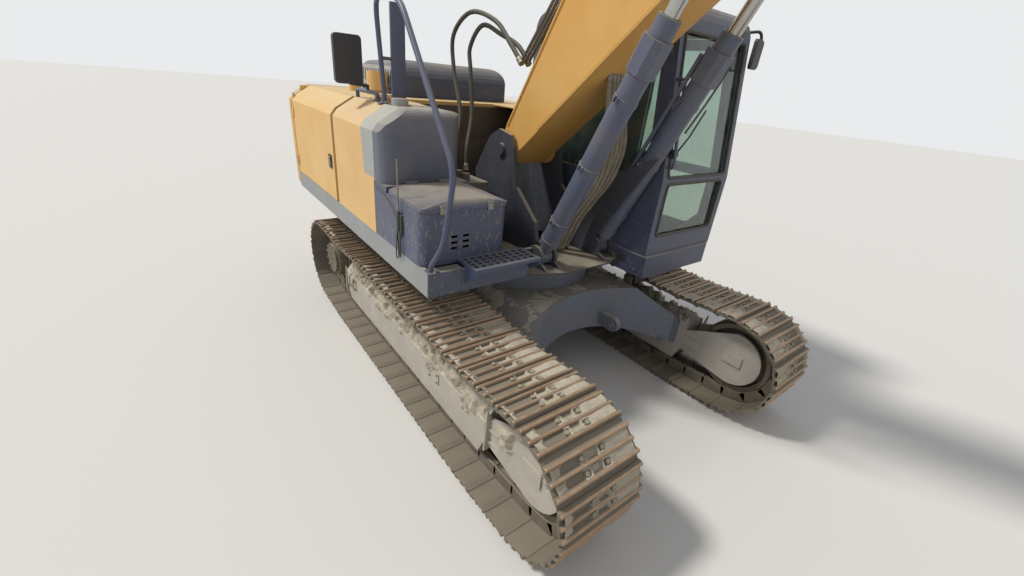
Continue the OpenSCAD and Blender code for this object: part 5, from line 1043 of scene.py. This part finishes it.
def bucket_hoses():
    """Pair from the arm's pipes to the ports at the bucket cylinder's foot."""
    place = frame_of(on_arm(*BUCKET_CYLINDER_FOOT), BUCKET_ROD_EYE)
    for k, (y, port_y) in enumerate(zip(ARM_PIPES_Y, FEED_PIPES_Y)):
        route = [on_arm(*ARM_LINE[-1], y), on_arm(0.31, 0.42, y), place @ Vector((0.30, y * 0.8, 0.16)),
                 place @ Vector((0.20, y * 0.6, 0.17)), place @ Vector((PORT_X, port_y, 0.105))]
        bending_hose("bucket_cylinder_hose_%d" % (k + 1), "rubber", route, 0.014)


# House
def deck_plate():
    """Folded filler plate between the toolbox and the front channel, with its screws."""
    made = Piece("deck_corner_plate", "house", "blue_paint", "navy")
    made.plate(shift(0.684, -1.229, 1.283), oblong(0.049, 0.128, 0.008, 2), 0.004, 0.001)
    for y in (-1.33, -1.13):
        made.bolt(shift(0.655, y, 1.287), 0.014)
    made.done()


def handrail():
    """Bent tube rail round the front right corner, with flattened feet and their bolts."""
    made = Piece("bent_handrail", "house", "blue_paint", "navy_clean")
    outer_y, front_x, rear_x, rear_y = -1.300, 0.710, -0.430, -1.145
    route = [(front_x, -1.338, 1.297), (front_x, -1.338, 1.337), (0.800, outer_y, 1.500),
             (0.905, outer_y, 1.965), (0.235, outer_y, 2.800), (-0.180, -1.260, 2.860),
             (-0.420, -1.190, 2.820), (rear_x, rear_y, 2.255), (rear_x, rear_y, 2.195)]
    made.sweep(rounded(route, 0.11), 0.0175, 16)
    feet = ((front_x, -1.325, 1.2965, 0.040), (rear_x, rear_y, 2.1955, 0.050))
    for x, y, z, half_y in feet:
        made.plate(shift(x, y, z), oblong(0.045, half_y, 0.012), 0.008, 0.002)
        for dx in (0.032, -0.032):
            made.bolt(shift(x + dx, y, z + 0.0075), 0.020)
    # Flat post behind it, the bar between the two and the low rail on the tank
    made.plate(shift(-0.455, -1.020, 2.195), oblong(0.015, 0.055, 0.006, 2), 0.665, 0.002)
    made.sweep([Vector((-0.455, -1.060, 2.500)), Vector((-0.425, -1.164, 2.500))], 0.012, 12)
    line = ((-1.000, 2.195), (-1.000, 2.255), (-0.560, 2.255), (-0.560, 2.195))
    made.sweep(rounded([(x, -1.150, z) for x, z in line], 0.05), 0.016, 12)
    thing = made.done(bevel=0.001)
    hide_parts("handrails")


def toolbox_aerial():
    """The aerial on the toolbox's side: its box, its rod in a rubber sleeve, and the loose leads."""
    made = Piece("toolbox_aerial", "house", "dark_steel", "trim")
    x, y = 0.335, -1.385
    made.plate(shift(x, -1.3675, 1.50) @ spin(90, "X"), oblong(0.040, 0.075, 0.010), 0.016, 0.003)
    made.sweep(rounded([(x, y, 1.46), (x, y, 1.58), (x - 0.004, y, 1.93)], 0.02), 0.006, 8, "bare")
    sleeve = [(0.011, -0.07), (0.013, -0.06), (0.013, 0.05), (0.008, 0.07)]
    made.turned(shift(x, y, 1.53), sleeve, 12, "rubber")
    made.sweep(eased([(-0.10, -1.3735, 1.655), (0.06, -1.375, 1.640), (0.20, -1.377, 1.585),
                      (0.30, -1.386, 1.535), (x - 0.004, y, 1.505)], 8), 0.0045, 8, "rubber")
    for dx, drop in ((-0.025, 0.19), (0.020, 0.16)):
        made.sweep(eased([(x + dx, y, 1.46), (x + dx * 1.6, y - 0.004, 1.46 - drop),
                          (x + dx * 0.4, y, 1.40 - drop * 0.6), (x - 0.03 + dx, -1.372, 1.50)], 8),
                   0.0042, 8, "rubber")
    made.done(bevel=0.001)


def lid_latches():
    """Two plates with pull loops on the front of the toolbox's lid."""
    made = Piece("lid_latches", "toolbox_lid", "blue_paint", "bare")
    half, base, crest = 0.014, 0.008, 0.020
    for y in (-1.22, -0.86):
        place = shift(0.640, y, 1.672) @ spin(90, "Y")
        made.plate(place, oblong(0.030, 0.022, 0.006), base, 0.002)
        loop = [place @ Vector((-0.012, v, h))
                for v, h in ((-half, base), (-half, crest), (half, crest), (half, base))]
        made.sweep(rounded(loop, 0.008), 0.0035, 8)
    made.done(bevel=0.001)


# Each side door with its latch's place along the machine
DOOR_LATCHES = (("pump_door", -1.17), ("battery_door", -0.78), ("radiator_door", -1.385))
LATCH_Z = 1.640


def side_doors():
    """Sunk paddle latches and hinge plates of the side doors, found on their real faces."""
    for name, latch_x in DOOR_LATCHES:
        thing = nodes[name]
        box = [thing.matrix_world @ Vector(c) for c in thing.bound_box]
        side = 1 if sum(c.y for c in box) > 0 else -1
        skin = surface(name)

        def on_door(x, z, sunk):
            hit, _, _, _ = skin.ray_cast(Vector((x, side * 2.0, z)), Vector((0, -side, 0)))
            return stand(hit - Vector((0, side * sunk, 0)), (0, side, 0))
        made = Piece(name + "_latch", name, "yellow_paint", "trim")
        lay = on_door(latch_x, LATCH_Z, 0.003)
        made.plate(lay, oblong(0.060, 0.042, 0.010), 0.0045, 0.0015)
        made.plate(lay @ shift(0.006, 0, 0.004), oblong(0.036, 0.026, 0.006), 0.008, 0.003, "bare")
        made.turned(lay @ shift(-0.042, 0, 0.004), [(0.011, 0), (0.011, 0.005), (0.008, 0.006)], 16, "bare")
        low_x, high_x = min(c.x for c in box), max(c.x for c in box)
        low_z, high_z = min(c.z for c in box), max(c.z for c in box)
        latch_in_front = abs(latch_x - high_x) < abs(latch_x - low_x)
        hinge_x = low_x + 0.03 if latch_in_front else high_x - 0.03
        from_end = 0.14 * (high_z - low_z)
        for hinge_z in (low_z + from_end, high_z - from_end):
            made.plate(on_door(hinge_x, hinge_z, 0.002), oblong(0.045, 0.022, 0.006), 0.006, 0.002, "bolt")
        made.done(bevel=0.001)


def hood_grille():
    """Pale pressed cover with upright slots on the right side of the engine hood."""
    made = Piece("hood_side_grille", "engine_hood", "grey_paint", "skirt_pale")
    face = shift(0, -0.6415, 0) @ spin(90, "X")
    middle_x, half_long, rail_half = -1.845, 0.445, 0.019
    for z in (2.281, 2.439):
        made.plate(face @ shift(middle_x, z, 0), oblong(half_long, rail_half, 0.006), 0.0035, 0.001)
    bar_x, bar_z, first_x, pitch = 0.018, 0.061, -2.281, 0.062
    bar = [(-bar_x, -bar_z), (bar_x, -bar_z), (bar_x, bar_z), (-bar_x, bar_z)]
    for k in range(15):
        made.plate(face @ shift(first_x + pitch * k, 2.360, 0), bar, 0.0034, 0.001)
    for x in (middle_x - 0.425, middle_x, middle_x + 0.425):
        made.bolt(face @ shift(x, 2.281, 0.003), 0.013)
    made.done()


def tail_lamps():
    """Two lamps on the counterweight, each with a clear and an amber lens."""
    made = Piece("tail_lamps", "house", "cast_counterweight", "trim")
    skin = surface("counterweight")
    for y in (-0.95, 0.95):
        hit, way, _, _ = skin.ray_cast(Vector((-3.4, y, 1.98)), Vector((1, 0, 0)))
        place = stand(hit + way * -0.002, way)
        made.plate(place, oblong(0.055, 0.095, 0.012), 0.016, 0.003)
        for v, coat in ((-0.045, "lens"), (0.045, "amber")):
            made.plate(place @ shift(0, v, 0.014), oblong(0.044, 0.038, 0.010), 0.010, 0.004, coat)
    made.done(bevel=0.001)


def tank_fittings():
    """Bolt circles of the caps on both tanks."""
    made = Piece("tank_fittings", "house", "yellow_paint", "bolt")
    skin = surface("hydraulic_tank", "fuel_tank")
    for x, y, r, count in ((-0.80, -1.00, 0.105, 8), (-0.62, -1.08, 0.075, 6), (-0.30, -1.08, 0.078, 6)):
        for a in circle(count, 0.5):
            eye = Vector((x + r * math.cos(a), y + r * math.sin(a), 2.6))
            hit, _, _, _ = skin.ray_cast(eye, Vector((0, 0, -1)))
            if hit:
                made.bolt(stand(hit - Vector((0, 0, 0.001)), (0, 0, 1)), 0.016)
    made.done()


def mirror_glass():
    """Silvered glass in the right mirror's housing, looking back."""
    made = Piece("right_mirror_glass", "house", "cab_trim", "silvered")
    made.plate(stand((-0.7815, -1.295, 2.470), (-1, 0, 0)), oblong(0.150, 0.088, 0.022), 0.003)
    made.done()


# Cab
CAB_FRONT_X, LEANS_FROM_Z = 1.064, 1.85
LEAN_BACK, LEAN_RISE = 0.142, 1.046


def lean(z):
    """How far forward the front of the cab is at a height: upright, then leaning back."""
    return CAB_FRONT_X - max(0.0, z - LEANS_FROM_Z) * LEAN_BACK / LEAN_RISE


def cab_gaskets():
    """Rubber gaskets round each pane of the cab and of its door, and the door's grab handle."""
    side_y, rear_x, door_y = 0.4165, -0.621, 1.3385
    lower = ((0.480, 1.410), (1.261, 1.410), (1.261, 1.825), (0.480, 1.825))
    upper = ((0.465, 1.875), (1.276, 1.875), (1.276, 2.850), (0.465, 2.850))
    front = [[(lean(z) + 0.001, y, z) for y, z in ring] for ring in (lower, upper)]
    right = [(x, side_y, z) for x, z in ((-0.530, 1.790), (0.914, 1.790), (0.814, 2.840), (-0.530, 2.840))]
    rear = [(rear_x, y, z) for y, z in ((0.515, 2.060), (1.226, 2.060), (1.226, 2.780), (0.515, 2.780))]
    made = Piece("window_gaskets", "house", "cab_trim", "rubber")
    for ring in front + [right, rear]:
        made.sweep(rounded(ring, 0.035, 4, closed=True), 0.011, 8)
    made.done(sharp=60)
    made = Piece("door_gaskets", "cab_door", "cab_trim", "rubber")
    for ring in (((0.100, 1.354), (0.804, 1.354), (0.914, 1.484), (0.914, 1.810), (0.100, 1.810)),
                 ((0.100, 1.880), (0.914, 1.880), (0.774, 2.820), (0.100, 2.820))):
        made.sweep(rounded([(x, door_y, z) for x, z in ring], 0.035, 4, closed=True), 0.010, 8)
    x, foot, grip, low, high = 0.060, 1.335, 1.375, 1.95, 2.35
    handle = rounded([(x, foot, low), (x, grip, low), (x, grip, high), (x, foot, high)], 0.03)
    made.sweep(handle, 0.011, 12, "cab_navy")
    made.done(sharp=60)


def cab_front():
    """Wiper, grab rail and left mirror."""
    made = Piece("cab_front_fittings", "house", "cab_trim", "trim")
    # Motor housing, arm and blade of the wiper across the upper pane
    made.turned(stand((lean(2.0) + 0.004, 0.470, 2.05), (1, 0, 0.13)),
                [(0.034, 0), (0.034, 0.022), (0.024, 0.032)])
    for off, r, line, coat in ((0.032, 0.007, ((0.470, 2.05), (0.62, 2.17), (0.80, 2.36)), "trim"),
                               (0.020, 0.008, ((0.58, 2.20), (0.80, 2.40), (1.06, 2.66)), "rubber")):
        made.sweep([Vector((lean(z) + off, y, z)) for y, z in line], r, 8, coat)
    rail = [(x, 0.432, z) for x, z in ((1.060, 1.96), (1.105, 1.96), (1.032, 2.55), (0.975, 2.55))]
    made.sweep(rounded(rail, 0.04), 0.012, 12, "cab_navy")
    made.sweep(rounded([(0.93, 1.30, 2.94), (1.00, 1.33, 2.95), (1.01, 1.37, 2.86)], 0.04), 0.011, 12)
    mirror = shift(1.010, 1.325, 2.79) @ spin(8, "Z")
    made.plate(mirror @ spin(90, "Y") @ shift(0, 0, -0.012), oblong(0.105, 0.075, 0.028), 0.030, 0.010)
    made.plate(mirror @ spin(-90, "Y") @ shift(0, 0, 0.010), oblong(0.092, 0.064, 0.022), 0.004,
               coat="silvered")
    made.done(bevel=0.001)


def cab_channel():
    """Channel round the cab's base, with its blank plate, and beside it a dark plate as painted shade for a
    recess.
    """
    made = Piece("cab_base_channel", "house", "blue_paint", "cab_navy")
    section = ((-0.030, 1.060), (0.0, 1.060), (0.0, 1.238), (-0.012, 1.250), (-0.030, 1.250))
    # Corners of its way round the cab, each with the way that its outer face looks
    stations = (((0.30, 0.396), (0, -1)), ((1.084, 0.396), (1, -1)), ((1.084, 1.300), (1, 0)))
    made.ring_stack([[Vector((x + u * dx, y + u * dy, z)) for u, z in section]
                     for (x, y), (dx, dy) in stations])
    face_y, right = 0.389, (0, -1, 0)
    made.plate(stand((0.725, face_y, 1.165), right), oblong(0.022, 0.045, 0.006), 0.003, 0.001, "bare")
    # Dark plate of the trim finish: painted shade standing for the recess beside the blank plate
    made.plate(stand((0.849, face_y, 1.165), right), oblong(0.026, 0.040, 0.008), 0.002, 0.001, "trim")
    for x in (0.40, 0.60, 1.00):
        made.bolt(stand((x, face_y, 1.115), right), 0.018)
    made.done(bevel=0.0015)


# Name of each pad, its centre and half its size
PADS = (
    ("seat_pad", (0.030, 0.880, 1.645), (0.250, 0.240, 0.056)),
    ("back_pad", (-0.216, 0.880, 1.974), (0.045, 0.230, 0.255)),
    ("head_pad", (-0.216, 0.880, 2.326), (0.042, 0.130, 0.072)),
)
# A pad starts a little smaller than it ends, with its corners drawn in
PAD_START = (0.93, 0.95, 0.93)
CORNERS_IN = 0.16
MOST_BLOWN = 0.014


def cushions():
    """Seat, back and head pads blown up as cloth from slightly smaller forms; a seam laid on after."""
    for name, at, half in PADS:
        mesh = bpy.data.meshes.new(name)
        form = bmesh.new()
        bmesh.ops.create_cube(form, size=2.0)
        bmesh.ops.subdivide_edges(form, edges=form.edges[:], cuts=7, use_grid_fill=True)
        for v in form.verts:
            ball = v.co.normalized() * max(abs(c) for c in v.co)
            p = v.co.lerp(ball, CORNERS_IN)
            v.co = [at[k] + p[k] * half[k] * PAD_START[k] for k in range(3)]
        form.to_mesh(mesh)
        form.free()
        thing = bpy.data.objects.new(name, mesh)
        bpy.context.scene.collection.objects.link(thing)
        mesh.materials.append(finish["cloth"])
        blow_up(thing, MOST_BLOWN)
        smooth = thing.modifiers.new("finer", "SUBSURF")
        smooth.levels = smooth.render_levels = 1
        thing.data.shade_smooth()
        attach(thing, "house")
        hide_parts("seat_cushions")
    made = Piece("cushion_seams", "house", "seat_fabric", "rubber")
    x0, x1, y0, y1, z = -0.20, 0.26, 0.655, 1.105, 1.668
    made.sweep(rounded([(x0, y0, z), (x1, y0, z), (x1, y1, z), (x0, y1, z)], 0.05, 5, closed=True), 0.004, 6)
    made.done(sharp=60)


def blow_up(thing, cap):
    """Cloth with air pressure and no gravity; no point moves further than cap."""
    scene = bpy.context.scene
    last_frame = 20
    remesh = thing.modifiers.new("even_mesh", "REMESH")
    remesh.mode, remesh.voxel_size = "VOXEL", 0.010
    depsgraph = bpy.context.evaluated_depsgraph_get()
    mesh = bpy.data.meshes.new_from_object(thing.evaluated_get(depsgraph))
    thing.modifiers.clear()
    thing.data = mesh
    start = [v.co.copy() for v in mesh.vertices]
    cloth = thing.modifiers.new("cloth", "CLOTH")
    cloth.settings.use_pressure = True
    cloth.settings.uniform_pressure_force = 4
    cloth.settings.effector_weights.gravity = 0
    cloth.point_cache.frame_start, cloth.point_cache.frame_end = 1, last_frame
    for k in range(1, last_frame + 1):
        scene.frame_set(k)
    depsgraph = bpy.context.evaluated_depsgraph_get()
    blown = bpy.data.meshes.new_from_object(thing.evaluated_get(depsgraph))
    thing.modifiers.clear()
    for v, p in zip(blown.vertices, start):
        move = v.co - p
        if move.length > cap:
            v.co = p + move * (cap / move.length)
    thing.data = blown
    if not blown.materials:
        blown.materials.append(finish["cloth"])
    scene.frame_set(1)


photo_camera()
studio()
finishes()
dress_nodes()
track(-1, "track_right_shoes")
track(1, "track_left_shoes")
soil_heaps()
track_frame_parts()
final_drives()
cylinders()
front_pipes()
arm_pipes()
bucket_hoses()
boom_lamp()
handrail()
deck_plate()
toolbox_aerial()
lid_latches()
side_doors()
cab_gaskets()
cab_front()
cab_channel()
mirror_glass()
hoses()
tail_lamps()
tank_fittings()
weld_beads()
hood_grille()
cushions()
